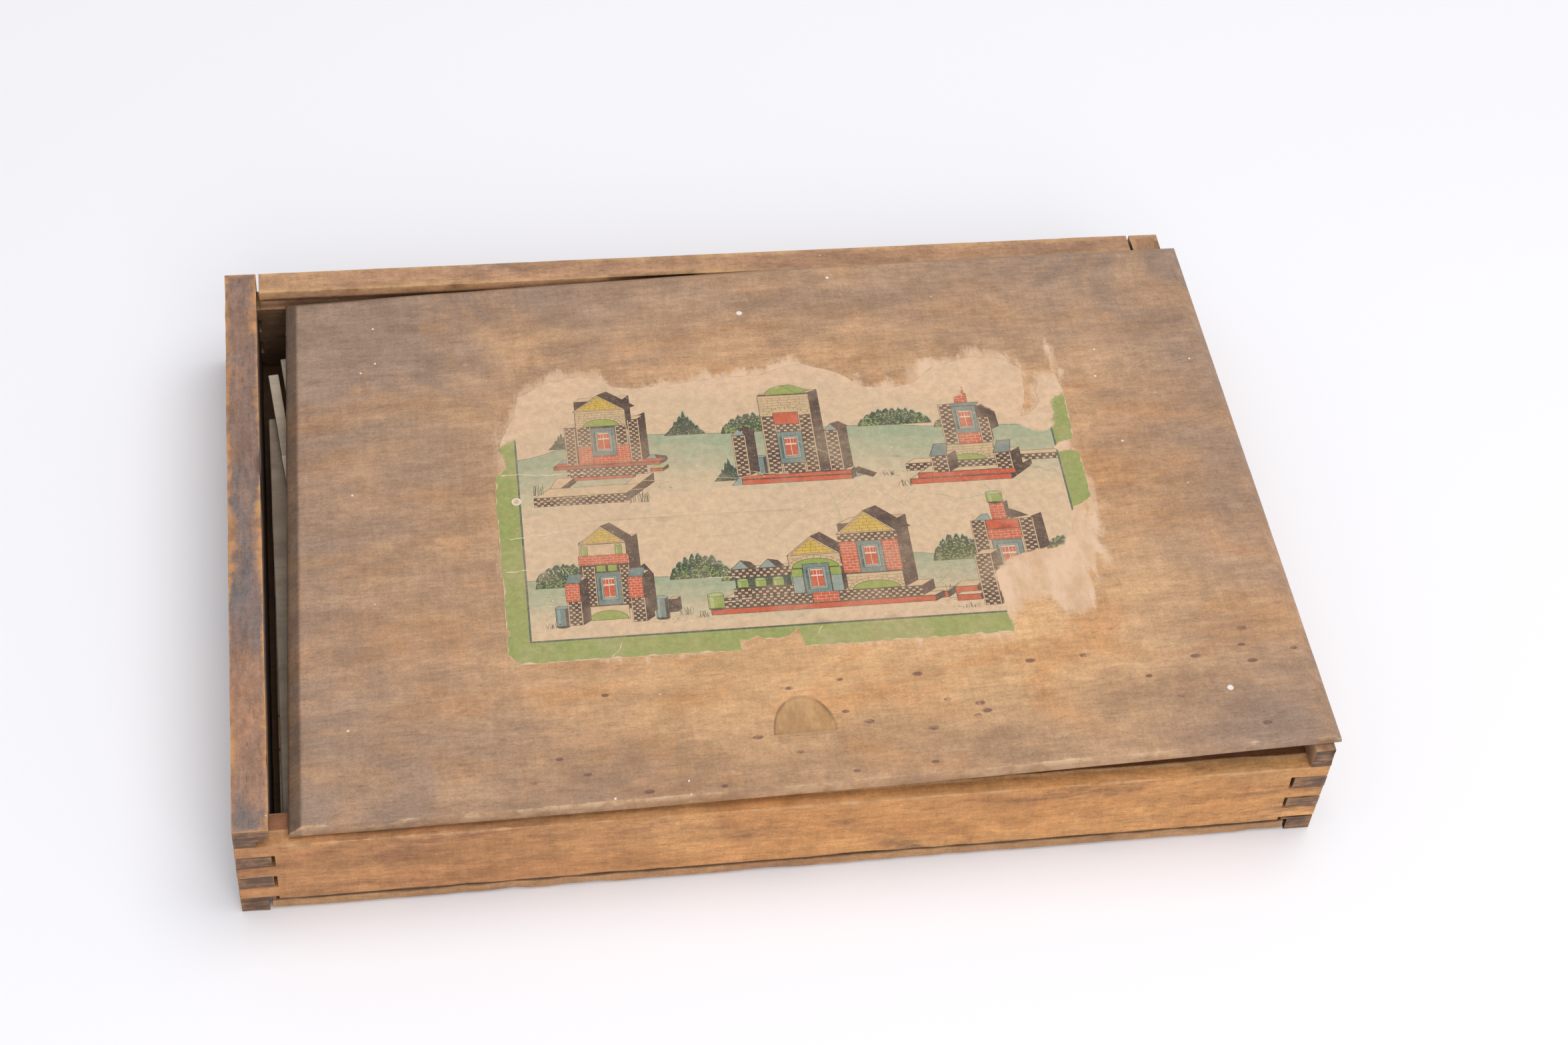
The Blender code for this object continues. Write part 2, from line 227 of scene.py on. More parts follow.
def wood(name, along, light, dark, stain, stained, worn=None, low=None, high=None, wear=0.0011,
         grain=1.0, patina_and_shade=None, cover=None):
    """Old handled board: clouded varnish, fine grain, stains, worn arrises, flecks and end grain."""
    n = Nodes(name)
    cloud = n.noise(along_grain(along, 11, 32), detail=5, rough=0.62, warp=0.7)
    colour = n.mix(n.steps(cloud, 0.34, 0.66), light, dark)
    blotch = n.noise(along_grain(along, 26, 62), detail=5, rough=0.66, shift=(4, 2, 6))
    colour = n.over(colour, blotch, 1.02 - stained, 1.24 - stained, 0.8, stain)
    if patina_and_shade is not None:
        colour = patina_and_shade(n, colour)
    bands = n.noise(along_grain(along, 9, 95), detail=4, rough=0.6, warp=0.6)
    fine = n.noise(along_grain(along, 110, 700), detail=4, rough=0.7)
    pores = n.noise(along_grain(along, 260, 1700), detail=2, rough=0.6, shift=(2, 3, 1))
    weave = n.noise(along_grain(along, 620, 90), detail=2, rough=0.6, shift=(8, 3, 1))
    mottle = n.noise(along_grain(along, 65, 110), detail=7, rough=0.8, shift=(5, 5, 2))
    grit = n.noise(1300, detail=2, rough=0.7, shift=(1, 1, 4))
    shade = n.times(n.steps(bands, 0.32, 0.68, 1 - 0.05 * grain, 1 + 0.04 * grain),
                   n.steps(fine, 0.30, 0.72, 1 - 0.075 * grain, 1 + 0.06 * grain))
    shade = n.times(shade, n.steps(weave, 0.32, 0.68, 0.95, 1.04))
    shade = n.times(shade, n.steps(mottle, 0.32, 0.68, 1 - 0.13 * grain, 1 + 0.09 * grain))
    shade = n.times(shade, n.steps(grit, 0.30, 0.70, 0.90, 1.09))
    shade = n.times(shade, n.steps(pores, 0.58, 0.72, 1.0, 1 - 0.15 * grain))
    colour = n.brighten(colour, shade)

    end = n.attribute("end_grain")["Fac"]
    rings = n.noise((75, 75, 620), detail=4, rough=0.7, warp=0.5)
    soot = n.noise(130, detail=4, rough=0.65, shift=(6, 2, 2))
    end_colour = n.mix(n.steps(rings, 0.36, 0.66), (0.33, 0.18, 0.10), (0.085, 0.05, 0.034))
    end_colour = n.mix(n.steps(soot, 0.42, 0.66, 0, 0.8), end_colour, (0.11, 0.07, 0.052))
    colour = n.mix(end, colour, end_colour)

    if low is not None:
        patchy = n.noise(210, detail=5, rough=0.66)
        coarse = n.noise(34, detail=3, rough=0.55)
        reach = n.times(n.steps(coarse, 0.36, 0.70, 0.2, 1.7), wear)
        distance = n.math("DIVIDE", n.arris_distance(low, high), reach)
        edge = n.steps(n.plus(distance, n.times(patchy, 2.2)), 1.95, 1.0)
        grimy = n.noise(120, detail=4, rough=0.7, shift=(3, 1, 7))
        worn_colour = n.mix(n.steps(grimy, 0.42, 0.68, 0, 0.85), worn, tuple(c * 0.5 for c in worn))
        colour = n.mix(n.times(edge, n.steps(end, 0, 1, 0.85, 0.25)), colour, worn_colour)
    if cover is not None:
        colour = cover(n, colour)
    for size, share, radius, strength in ((48, 0.10, 0.020, 0.85), (210, 0.05, 0.05, 0.5)):
        colour = n.mix(n.dots(size, share, radius, strength), colour, (0.84, 0.78, 0.72))
    height = n.plus(n.times(fine, 0.5), n.times(pores, -0.3))
    height = n.plus(height, n.times(blotch, 0.7))
    n.surface(colour, n.steps(n.plus(blotch, fine), 0.6, 1.4, 0.44, 0.64), height, 0.0002, 0.6)
    n.shader.inputs["Specular IOR Level"].default_value = 0.20
    return n.material


# ---------------------------------------------------------------- wooden boards

def uneven(point, size, seed):
    """Smooth noise from -1 to 1 with lumps of about that size, in metres."""
    return noise.noise(point / size + Vector((seed * 7.3, seed * 3.1, seed * 5.7)))


def new_piece(name, bm, material, matrix=None):
    mesh = bpy.data.meshes.new(name)
    bm.to_mesh(mesh)
    bm.free()
    for one in material if isinstance(material, (list, tuple)) else [material]:
        mesh.materials.append(one)
    piece = bpy.data.objects.new(name, mesh)
    bpy.context.scene.collection.objects.link(piece)
    if matrix is not None:
        piece.matrix_world = matrix
    return piece


def stand_in(piece, body, node):
    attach(piece, body)
    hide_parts(node)


def cad_copy(node):
    bm = bmesh.new()
    bm.from_mesh(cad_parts[node].data)
    bmesh.ops.remove_doubles(bm, verts=bm.verts, dist=0.002 * MM)
    bmesh.ops.dissolve_limit(bm, angle_limit=math.radians(0.5), verts=bm.verts, edges=bm.edges)
    return bm


def slice_grid(bm, axis, places):
    normal = Vector([1.0 if axis == i else 0.0 for i in range(3)])
    for place in places:
        everything = list(bm.verts) + list(bm.edges) + list(bm.faces)
        bmesh.ops.bisect_plane(bm, geom=everything, plane_co=normal * place, plane_no=normal, dist=1e-7)


def spaced(low, high, step):
    count = max(1, round((high - low) / step))
    return [low + (high - low) * i / count for i in range(1, count)]


def worn_board(node, along, bevel, step, seed, chips=0.45 * MM, wobble=0.12 * MM):
    """A CAD board with rounded and unevenly worn arrises."""
    bm = cad_copy(node)
    low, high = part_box(node)
    sharp = [e for e in bm.edges if e.is_manifold and e.calc_face_angle_signed(0) > math.radians(20)]
    corners = [(e.verts[0].co.copy(), e.verts[1].co.copy()) for e in sharp]
    bmesh.ops.bevel(bm, geom=sharp, offset=bevel, offset_type="OFFSET", segments=2, profile=0.5,
                    affect="EDGES", clamp_overlap=True)
    for axis in range(3):
        slice_grid(bm, axis, spaced(low[axis], high[axis], step))
    bm.normal_update()
    places = np.array([vert.co for vert in bm.verts])
    gaps = edge_gaps(places, np.array(corners))
    for vert, gap in zip(list(bm.verts), gaps):
        shift = wobble * (uneven(vert.co, 30 * MM, seed) - 0.5)
        if gap < 1.6 * bevel:
            bite = max(0.0, uneven(vert.co, 7 * MM, seed + 1)) ** 1.5
            bite += 0.8 * max(0.0, uneven(vert.co, 22 * MM, seed + 2) - 0.15)
            shift -= chips * bite
        vert.co += vert.normal * shift
    mark_end_grain(bm, 0 if along == "X" else 1)
    arris = bm.faces.layers.float.new("arris")
    for face in bm.faces:
        straight = max(abs(face.normal.x), abs(face.normal.y)) > 0.96
        face[arris] = 0.0 if abs(face.normal.z) > 0.96 or straight else 1.0
        face.smooth = True
    return bm


def edge_gaps(points, edges):
    """Each point's distance to the nearest of the edges, given by their two ends."""
    starts, runs = edges[:, 0], edges[:, 1] - edges[:, 0]
    least = np.full(len(points), np.inf)
    for start, run in zip(starts, runs):
        share = np.clip((points - start) @ run / max(run @ run, 1e-18), 0, 1)
        least = np.minimum(least, np.linalg.norm(points - start - share[:, None] * run, axis=1))
    return least


def mark_end_grain(bm, axis):
    layer = bm.faces.layers.float.new("end_grain")
    for face in bm.faces:
        face[layer] = 1.0 if abs(face.normal[axis]) > 0.8 else 0.0


# ---------------------------------------------------------------- the box

WORN = (0.60, 0.35, 0.175)


def painted_inner_shade(axis, level, outwards, top):
    """Painted shade: darkens the faces that look into the box, below the walls' tops."""
    def shade(n, colour):
        places = n.axes()
        inside = n.steps(places[axis], level + outwards * 0.5 * MM, level - outwards * 0.1 * MM)
        below = n.steps(places[2], top - 2.2 * MM, top - 3.6 * MM)
        return n.brighten(colour, n.steps(n.times(inside, below), 0, 1, 1.0, 0.22))
    return shade


def front_ledge(n, colour):
    """The front wall's top behind its front arris is darkened as painted shade under the lid's front edge,
    with a pale worn line, stains, and the wall darker towards its left end.
    """
    _, y, z = n.axes()
    patchy = n.noise((50, 90, 90), detail=4, rough=0.65)
    reach = n.plus(y, n.times(n.minus(patchy, 0.5), 1.6 * MM))
    edge = BOX_CORNER.y + 5.6 * MM
    # painted shade on the ledge under the lid's front edge
    ledge = n.times(n.steps(reach, edge - 0.3 * MM, edge + 0.3 * MM), n.steps(z, 26 * MM, 30 * MM))
    colour = n.mix(n.times(ledge, 0.9), colour, (0.12, 0.042, 0.02))
    line = n.math("ABSOLUTE", n.minus(reach, edge - 0.7 * MM))
    line = n.times(n.steps(line, 0.75 * MM, 0.2 * MM), n.steps(z, 29 * MM, 30.5 * MM))
    colour = n.mix(n.times(line, n.steps(patchy, 0.30, 0.55, 0.3, 0.95)), colour, (0.70, 0.44, 0.23))
    stains = n.noise((22, 60, 75), detail=6, rough=0.7, warp=0.5, shift=(7, 2, 2))
    colour = n.over(colour, stains, 0.50, 0.68, 0.75, (0.19, 0.10, 0.06))
    left = n.steps(n.axes()[0], 20 * MM, -110 * MM, 0, 0.55)
    return n.mix(left, colour, (0.36, 0.155, 0.075))


def seam_shadow(n, colour):
    """Painted shade in the seam between the front wall and the bottom board."""
    z = n.axes()[2]
    gap = n.math("ABSOLUTE", n.minus(z, 5.0 * MM))
    patchy = n.noise(90, detail=3, rough=0.6)
    return n.brighten(colour, n.steps(gap, 0.25 * MM, n.times(patchy, 2.2 * MM), 0.25, 1.0))


def make_box():
    inner_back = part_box("back_wall")[0].y
    looks = {
        # node: grain, light, dark, stain, how stained, worn arris, how far worn, painted shade (inside the
        # box, on the front wall under the lid's edge)
        "left_wall": ("Y", (0.40, 0.215, 0.13), (0.25, 0.17, 0.14), (0.15, 0.145, 0.15), 0.57,
                      (0.62, 0.31, 0.125), 0.0025, painted_inner_shade(0, INNER_LEFT, -1, WALL_TOP)),
        "right_wall": ("Y", (0.47, 0.27, 0.14), (0.33, 0.18, 0.11), (0.20, 0.125, 0.09), 0.50,
                       WORN, 0.0020, painted_inner_shade(0, INNER_RIGHT, 1, WALL_TOP)),
        "front_wall": ("X", (0.67, 0.36, 0.145), (0.57, 0.27, 0.10), (0.28, 0.13, 0.07), 0.46,
                       WORN, 0.0014, front_ledge),
        "back_wall": ("X", (0.56, 0.32, 0.17), (0.42, 0.235, 0.14), (0.27, 0.165, 0.12), 0.50,
                      (0.62, 0.37, 0.18), 0.0024, painted_inner_shade(1, inner_back, 1, WALL_TOP)),
    }
    for seed, (node, look) in enumerate(looks.items()):
        along, light, dark, stain, stained, worn, wear, inside = look
        low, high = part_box(node)
        low, high = low.copy(), high.copy()
        if node in ("front_wall", "back_wall"):
            # only the long upper arrises count as worn, so the other limits are set far off
            low.x, high.x = -1.0, 1.0
            low.z = -0.01
        seam = seam_shadow if node == "front_wall" else None
        # the last look gives each wall its painted shade
        material = wood(node + "_wood", along, light, dark, stain, stained, worn, low, high, wear,
                        grain=1.7, patina_and_shade=inside, cover=seam)
        chips = 0.15 * MM if node == "back_wall" else 0.45 * MM
        bm = worn_board(node, along, bevel=0.32 * MM, step=2.5 * MM, seed=seed + 1, chips=chips)
        stand_in(new_piece(node + "_worn", bm, material), "box", node)

    low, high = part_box("bottom_board")
    material = wood("bottom_wood", "X", (0.48, 0.27, 0.13), (0.36, 0.19, 0.095), (0.26, 0.15, 0.10), 0.44,
                    WORN, low, high, grain=1.5, cover=seam_shadow)
    bm = worn_board("bottom_board", "X", bevel=0.7 * MM, step=5 * MM, seed=5, chips=0.9 * MM)
    stand_in(new_piece("bottom_board_worn", bm, material), "box", "bottom_board")


# ---------------------------------------------------------------- the lid

LID_BEVEL = 3.9 * MM
LID_THIN_EDGE = 1.85 * MM
FRONT_SAG = -1.5 * MM
BACK_RISE = 2.0 * MM
SCOOP_HALF_WIDTH = 9.1 * MM
SCOOP_LENGTH = 13.3 * MM
SCOOP_DEPTH = 2.0 * MM


class Lid:
    """The lid's own axes and outline: X right, Y back, Z up from its underside."""

    def __init__(self):
        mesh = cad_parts["lid"].data
        under = min(mesh.polygons, key=lambda face: face.normal.z * face.area)
        tilt = math.atan2(under.normal.x, -under.normal.z)
        height = under.center.z - (under.center.x - BOX_CORNER.x) * math.tan(tilt)
        place = Matrix.Translation((BOX_CORNER.x, BOX_CORNER.y, height))
        self.matrix = place @ Matrix.Rotation(-tilt, 4, "Y")
        inverse = self.matrix.inverted()
        points = [inverse @ vert.co for vert in mesh.vertices]
        self.thickness = max(p.z for p in points)
        self.front_left = min(points, key=lambda p: p.x + p.y)
        self.front_right = max(points, key=lambda p: p.x - p.y)
        self.back_right = max(points, key=lambda p: p.x + p.y)
        self.back_left = min(points, key=lambda p: p.x - p.y)
        self.front, self.back = self.front_left.y, self.back_left.y
        # the scoop's corners lie below the upper face, near the middle of the front
        scoop = [p for p in points
                 if abs(p.z - self.thickness) > 0.3 * MM and p.z > LID_THIN_EDGE + 0.2 * MM
                 and p.y < self.front + 40 * MM and abs(p.x - 165 * MM) < 15 * MM]
        self.scoop_x = sum(p.x for p in scoop) / len(scoop)
        self.scoop_y = min(p.y for p in scoop)
        label = [inverse @ vert.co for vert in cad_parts["lid_label"].data.vertices]
        self.label = Vector((min(p.x for p in label), min(p.y for p in label)))

    def sides(self, y):
        share = (y - self.front) / (self.back - self.front)
        left = self.front_left.x + (self.back_left.x - self.front_left.x) * share
        right = self.front_right.x + (self.back_right.x - self.front_right.x) * share
        return left, right

    def warp(self, x, y):
        left, right = self.sides(y)
        across = min(1.0, max(0.0, (x - left) / (right - left)))
        share = (y - self.front) / (self.back - self.front)
        bow = (FRONT_SAG * (1 - share) + BACK_RISE * share) * math.sin(math.pi * across)
        return bow + 0.10 * MM * noise.noise(Vector((x, y, 0)) / (26 * MM))

    def top(self, x, y):
        """Height of the upper face, bevels and scoop left out."""
        return self.thickness + self.warp(x, y)


def soft_min(a, b, width):
    share = max(width - abs(a - b), 0.0) / width
    return min(a, b) - share * share * width / 4


def edge_drop(distance, radius, depth):
    return depth * max(0.0, 1 - distance / radius) ** 2


def lid_height(lid, x, y):
    """Heights of the lid's upper and lower faces."""
    left, right = lid.sides(y)
    point = Vector((x, y, 0))
    side = min(x - left, right - x, lid.back - y)
    side += 0.35 * MM * noise.noise(point / (19 * MM))  # the plane wandered a little
    rise = (lid.thickness - LID_THIN_EDGE) / LID_BEVEL
    upper = soft_min(lid.thickness, LID_THIN_EDGE + max(side, 0) * rise, 0.5 * MM)
    edge = min(x - left, right - x, lid.back - y)
    upper -= edge_drop(edge, 0.7 * MM, 0.45 * MM)
    chips = 0.5 + 1.4 * max(0.0, noise.noise(Vector((x / (6 * MM), 3.1, 0)))) ** 1.5
    upper -= edge_drop(y - lid.front, 0.9 * MM, 0.55 * MM * chips)
    lower = edge_drop(min(edge, y - lid.front), 0.6 * MM, 0.40 * MM)

    over_x = (x - lid.scoop_x) / SCOOP_HALF_WIDTH
    over_y = (y - lid.scoop_y) / SCOOP_LENGTH
    inside = 1 - over_x ** 2 - over_y ** 2
    if over_y > 0 and inside > 0:
        upper -= SCOOP_DEPTH * inside ** 0.62
    upper += 0.045 * MM * noise.noise(Vector((x / (30 * MM), y / (4 * MM), 7)))
    return upper + lid.warp(x, y), lower + lid.warp(x, y)


def grid_places(low, high, fine, step, span):
    """Places from low to high: fine steps at both ends, and the span's own places in between."""
    places = [low + f for f in fine] + [high - f for f in fine]
    start, end = low + fine[-1], high - fine[-1]
    count = round((end - start) / step)
    regular = [start + (end - start) * i / count for i in range(1, count)]
    regular = [p for p in regular if not span[0] - step / 2 < p < span[-1] + step / 2]
    return sorted(set(places + regular + span))


def make_lid():
    lid = Lid()
    fine = [f * MM for f in (0, 0.18, 0.45, 0.8, 1.4, 2.2, 3.0, 3.5, 3.9, 4.3, 5.0)]
    span = [lid.scoop_x + SCOOP_HALF_WIDTH * i / 14 for i in range(-14, 15)]
    xs = grid_places(lid.front_left.x, lid.front_right.x, fine, 1.7 * MM, span)
    rise = [lid.scoop_y - 0.06 * MM]
    rise += [lid.scoop_y + 0.02 * MM + SCOOP_LENGTH * (i / 14) for i in range(15)]
    ys = grid_places(lid.front, lid.back, fine, 1.7 * MM, rise)
    width = lid.front_right.x - lid.front_left.x
    bm = bmesh.new()
    rows = {True: [], False: []}
    for y in ys:
        left, right = lid.sides(y)
        for above in (True, False):
            row = []
            for place in xs:
                x = left + (place - lid.front_left.x) * (right - left) / width
                row.append(bm.verts.new((x, y, lid_height(lid, x, y)[0 if above else 1])))
            rows[above].append(row)
    for above, grid in rows.items():
        for near, far in zip(grid, grid[1:]):
            for i in range(len(near) - 1):
                quad = (near[i], near[i + 1], far[i + 1], far[i])
                bm.faces.new(quad if above else quad[::-1])
    upper, lower = rows[True], rows[False]
    rim = [(upper[0][i], lower[0][i]) for i in range(len(xs))]
    rim += [(upper[j][-1], lower[j][-1]) for j in range(1, len(ys))]
    rim += [(upper[-1][i], lower[-1][i]) for i in range(len(xs) - 2, -1, -1)]
    rim += [(upper[j][0], lower[j][0]) for j in range(len(ys) - 2, 0, -1)]
    for (top_a, low_a), (top_b, low_b) in zip(rim, rim[1:] + rim[:1]):
        bm.faces.new((top_a, low_a, low_b, top_b))
    mark_end_grain(bm, 0)
    places = np.array([vert.co[:2] for vert in bm.verts]) - np.array(lid.label)
    layer = bm.verts.layers.float.new("residue")
    for vert, gap in zip(bm.verts, signed_gaps(places / MM, RESIDUE_OUTLINE)):
        vert[layer] = max(-10.0, min(10.0, gap))
    for face in bm.faces:
        face.smooth = True
    piece = new_piece("lid_board", bm, lid_wood(lid), lid.matrix)
    piece.data.set_sharp_from_angle(angle=math.radians(50))
    stand_in(piece, "lid", "lid")
    return lid


def lid_wood(lid):
    side_slope = (lid.back_left.x - lid.front_left.x) / (lid.back - lid.front)
    side_start = lid.front_left.x - side_slope * lid.front

    def patina_and_shade(n, colour):
        """Grey grime at the left, at the back and by the edges, over warm rubbed varnish; the left bevel is
        darkened as painted shade.
        """
        x, y, _ = n.axes()
        cloud = n.noise((15, 24, 15), detail=5, rough=0.62, warp=0.9)
        rubbed = n.noise((7, 14, 7), detail=5, rough=0.6, shift=(2, 5, 0))
        rubbed = n.plus(rubbed, n.steps(x, 110 * MM, 230 * MM, -0.03, 0.05))
        colour = n.over(colour, rubbed, 0.40, 0.64, 0.85, (0.64, 0.38, 0.20))
        hand = n.noise((30, 60, 30), detail=5, rough=0.7, shift=(6, 6, 1))
        colour = n.over(colour, hand, 0.46, 0.66, 0.5, (0.43, 0.245, 0.14))
        near = n.plus(n.steps(y, 42 * MM, 12 * MM, 0, 0.5), n.steps(hand, 0.4, 0.6, -0.2, 0.2))
        colour = n.mix(n.math("MAXIMUM", near, 0.0), colour, (0.37, 0.21, 0.115))
        over_x = n.times(n.minus(x, 190 * MM), 1 / (115 * MM))
        over_y = n.times(n.minus(y, 62 * MM), 1 / (62 * MM))
        apart = n.plus(n.times(over_x, over_x), n.times(over_y, over_y))
        bright = n.times(n.steps(apart, 1.2, 0.1, 0, 0.85), n.steps(hand, 0.30, 0.62, 1.0, 0.6))
        colour = n.mix(bright, colour, (0.68, 0.41, 0.20))
        rust = n.noise((17, 40, 17), detail=6, rough=0.72, warp=0.6, shift=(9, 1, 4))
        colour = n.over(colour, rust, 0.47, 0.62, 0.75, (0.57, 0.285, 0.12))
        reach = n.steps(x, 135 * MM, 20 * MM, 0, 0.86)
        for value, start, end, amount in ((y, 140, 208, 0.62), (x, 235, 320, 0.62), (y, 40, 3, 0.30)):
            reach = n.plus(reach, n.steps(value, start * MM, end * MM, 0, amount))
        grime = n.times(reach, n.steps(cloud, 0.32, 0.64, 0.40, 1.25), clamp=True)
        colour = n.mix(grime, colour, (0.345, 0.23, 0.165))
        # painted shade: the left bevel is darkened to about half its brightness
        from_left = n.minus(x, n.plus(n.times(y, side_slope), side_start))
        return n.brighten(colour, n.steps(from_left, 3.2 * MM, 4.4 * MM, 0.55, 1.0))

    def residue(n, colour):
        """Paper pulp left on the wood round the label, thin and ragged at its upper rim."""
        drips = n.noise((240, 60, 60), detail=5, rough=0.66, warp=0.5, shift=(1, 2, 3))
        fuzz = n.noise(800, detail=3, rough=0.7)
        reach = n.plus(n.attribute("residue")["Fac"], n.times(n.minus(drips, 0.52), 15.0))
        reach = n.plus(reach, n.times(n.minus(fuzz, 0.5), 4.5))
        shade = n.noise((120, 50, 50), detail=5, rough=0.7, shift=(4, 4, 4))
        cover = n.times(n.steps(reach, -1.6, 2.2), n.steps(shade, 0.34, 0.66, 0.97, 0.66))
        pulp = n.mix(n.steps(shade, 0.40, 0.7), (0.73, 0.51, 0.345), (0.62, 0.41, 0.26))
        pulp = n.mix(n.steps(n.axes()[0], 120 * MM, 80 * MM, 0, 0.7), pulp, (0.56, 0.36, 0.235))
        pulp = n.mix(n.steps(fuzz, 0.55, 0.75, 0, 0.3), pulp, (0.80, 0.62, 0.47))
        return n.mix(cover, colour, pulp)

    def scoop(n, colour):
        """The finger scoop is cut through the varnish; the cut is painted lighter at its straight front
        edge and darker towards its curved back rim, where a dark line of painted shade runs.
        """
        x, y, _ = n.axes()
        over_x = n.math("DIVIDE", n.minus(x, lid.scoop_x), SCOOP_HALF_WIDTH)
        over_y = n.math("DIVIDE", n.minus(y, lid.scoop_y), SCOOP_LENGTH)
        round_out = n.plus(n.times(over_x, over_x), n.times(over_y, over_y))
        inside = n.times(n.steps(round_out, 1.04, 0.92), n.math("GREATER_THAN", over_y, 0.0))
        fibres = n.noise((130, 60, 60), detail=5, rough=0.7, shift=(2, 2, 9))
        cut_colour = n.mix(n.steps(fibres, 0.38, 0.62), (0.56, 0.335, 0.155), (0.37, 0.21, 0.095))
        # painted shade: the cut is lighter at the front of the scoop and darker towards its back
        cut_colour = n.brighten(cut_colour, n.steps(over_y, 0.1, 1.0, 1.06, 0.90))
        colour = n.mix(n.times(inside, 0.85), colour, cut_colour)
        # painted shade: a dark line along the scoop's curved rim
        rim = n.math("ABSOLUTE", n.minus(round_out, 1.0))
        rim = n.times(n.steps(rim, 0.12, 0.0), n.math("GREATER_THAN", over_y, 0.02))
        return n.mix(n.times(rim, n.steps(fibres, 0.40, 0.6, 0.3, 0.8)), colour, (0.20, 0.11, 0.06))

    def dark_spots(n, colour):
        """Small ink-like stains, most of them in front of the scoop."""
        x, y, _ = n.axes()
        near = n.times(n.steps(y, 56 * MM, 40 * MM, 0.10, 1.0), n.steps(x, 60 * MM, 100 * MM, 0.1, 1.0))
        torn = n.noise(420, detail=3, rough=0.7, shift=(3, 8, 8))
        near = n.times(near, n.steps(torn, 0.34, 0.56, 0.25, 1.0))
        for scale, share, radius in (((60, 120, 1), 0.13, 0.075), ((130, 250, 1), 0.05, 0.12)):
            spot = n.dots(scale, share, radius, 0.8, flat=True)
            colour = n.mix(n.times(spot, near), colour, (0.15, 0.075, 0.06))
        for size, share, radius in ((24, 0.07, 0.018), (70, 0.004, 0.03), (420, 0.0012, 0.12)):
            colour = n.mix(n.dots(size, share, radius, 0.9, flat=True), colour, (0.83, 0.78, 0.73))
        return colour

    def front_edge(n, colour):
        """The front upper arris is rubbed to pale wood in places."""
        _, y, z = n.axes()
        chips = n.noise((60, 160, 160), detail=5, rough=0.7)
        reach = n.plus(n.minus(y, lid.front), n.times(chips, 0.0026))
        edge = n.steps(reach, 0.0016, 0.0011)
        grimy = n.noise(170, detail=4, rough=0.7, shift=(3, 1, 7))
        pale = n.mix(n.steps(grimy, 0.40, 0.62), (0.66, 0.45, 0.27), (0.42, 0.245, 0.13))
        return n.mix(n.times(edge, n.steps(z, 1 * MM, 3.2 * MM, 0.45, 0.85)), colour, pale)

    def layers(n, colour):
        for layer in (residue, scoop, dark_spots, front_edge):
            colour = layer(n, colour)
        return colour

    return wood("lid_wood", "X", (0.58, 0.34, 0.18), (0.47, 0.26, 0.135), (0.37, 0.205, 0.115), 0.45,
                grain=1.35, patina_and_shade=patina_and_shade, cover=layers)


# ---------------------------------------------------------------- printed paper

INKS = {
    "paper": (0.645, 0.46, 0.295), "bare": (0.69, 0.475, 0.31), "torn": (0.80, 0.65, 0.49),
    "border": (0.29, 0.325, 0.10), "line": (0.09, 0.125, 0.10), "ink": (0.07, 0.05, 0.04),
    "hill_1": (0.335, 0.375, 0.24), "hill_2": (0.385, 0.395, 0.25), "hill_3": (0.44, 0.41, 0.265),
    "hill_4": (0.52, 0.435, 0.28), "hill_5": (0.585, 0.45, 0.29),
    "bush": (0.055, 0.078, 0.055), "leaf": (0.25, 0.33, 0.085), "pale_leaf": (0.40, 0.42, 0.28),
    "dark": (0.085, 0.056, 0.046), "cream": (0.62, 0.43, 0.26), "stone": (0.58, 0.41, 0.23),
    "red": (0.54, 0.10, 0.05), "deep_red": (0.36, 0.09, 0.06), "mortar": (0.70, 0.40, 0.27),
    "yellow": (0.61, 0.40, 0.075), "blue": (0.17, 0.225, 0.20), "pale_blue": (0.27, 0.32, 0.275),
    "green": (0.27, 0.335, 0.075), "pale_green": (0.38, 0.43, 0.17), "white": (0.72, 0.58, 0.44),
    "back": (0.60, 0.46, 0.31),
}


def twice_area(points):
    """Positive where the outline runs anticlockwise."""
    return sum(a[0] * b[1] - b[0] * a[1] for a, b in zip(points, points[1:] + points[:1]))


def inset(points, width):
    """A convex outline moved inwards on every side."""
    count = len(points)
    sign = 1 if twice_area(points) > 0 else -1
    lines = []
    for i in range(count):
        a, b = Vector(points[i]), Vector(points[(i + 1) % count])
        along = (b - a).normalized()
        inward = Vector((-along.y, along.x)) * sign
        lines.append((a + inward * width, b + inward * width))
    moved = []
    for i in range(count):
        meet = geometry.intersect_line_line(*[p.to_3d() for p in lines[i - 1] + lines[i]])
        moved.append(tuple(meet[0].to_2d()) if meet else tuple(lines[i][0]))
    return moved


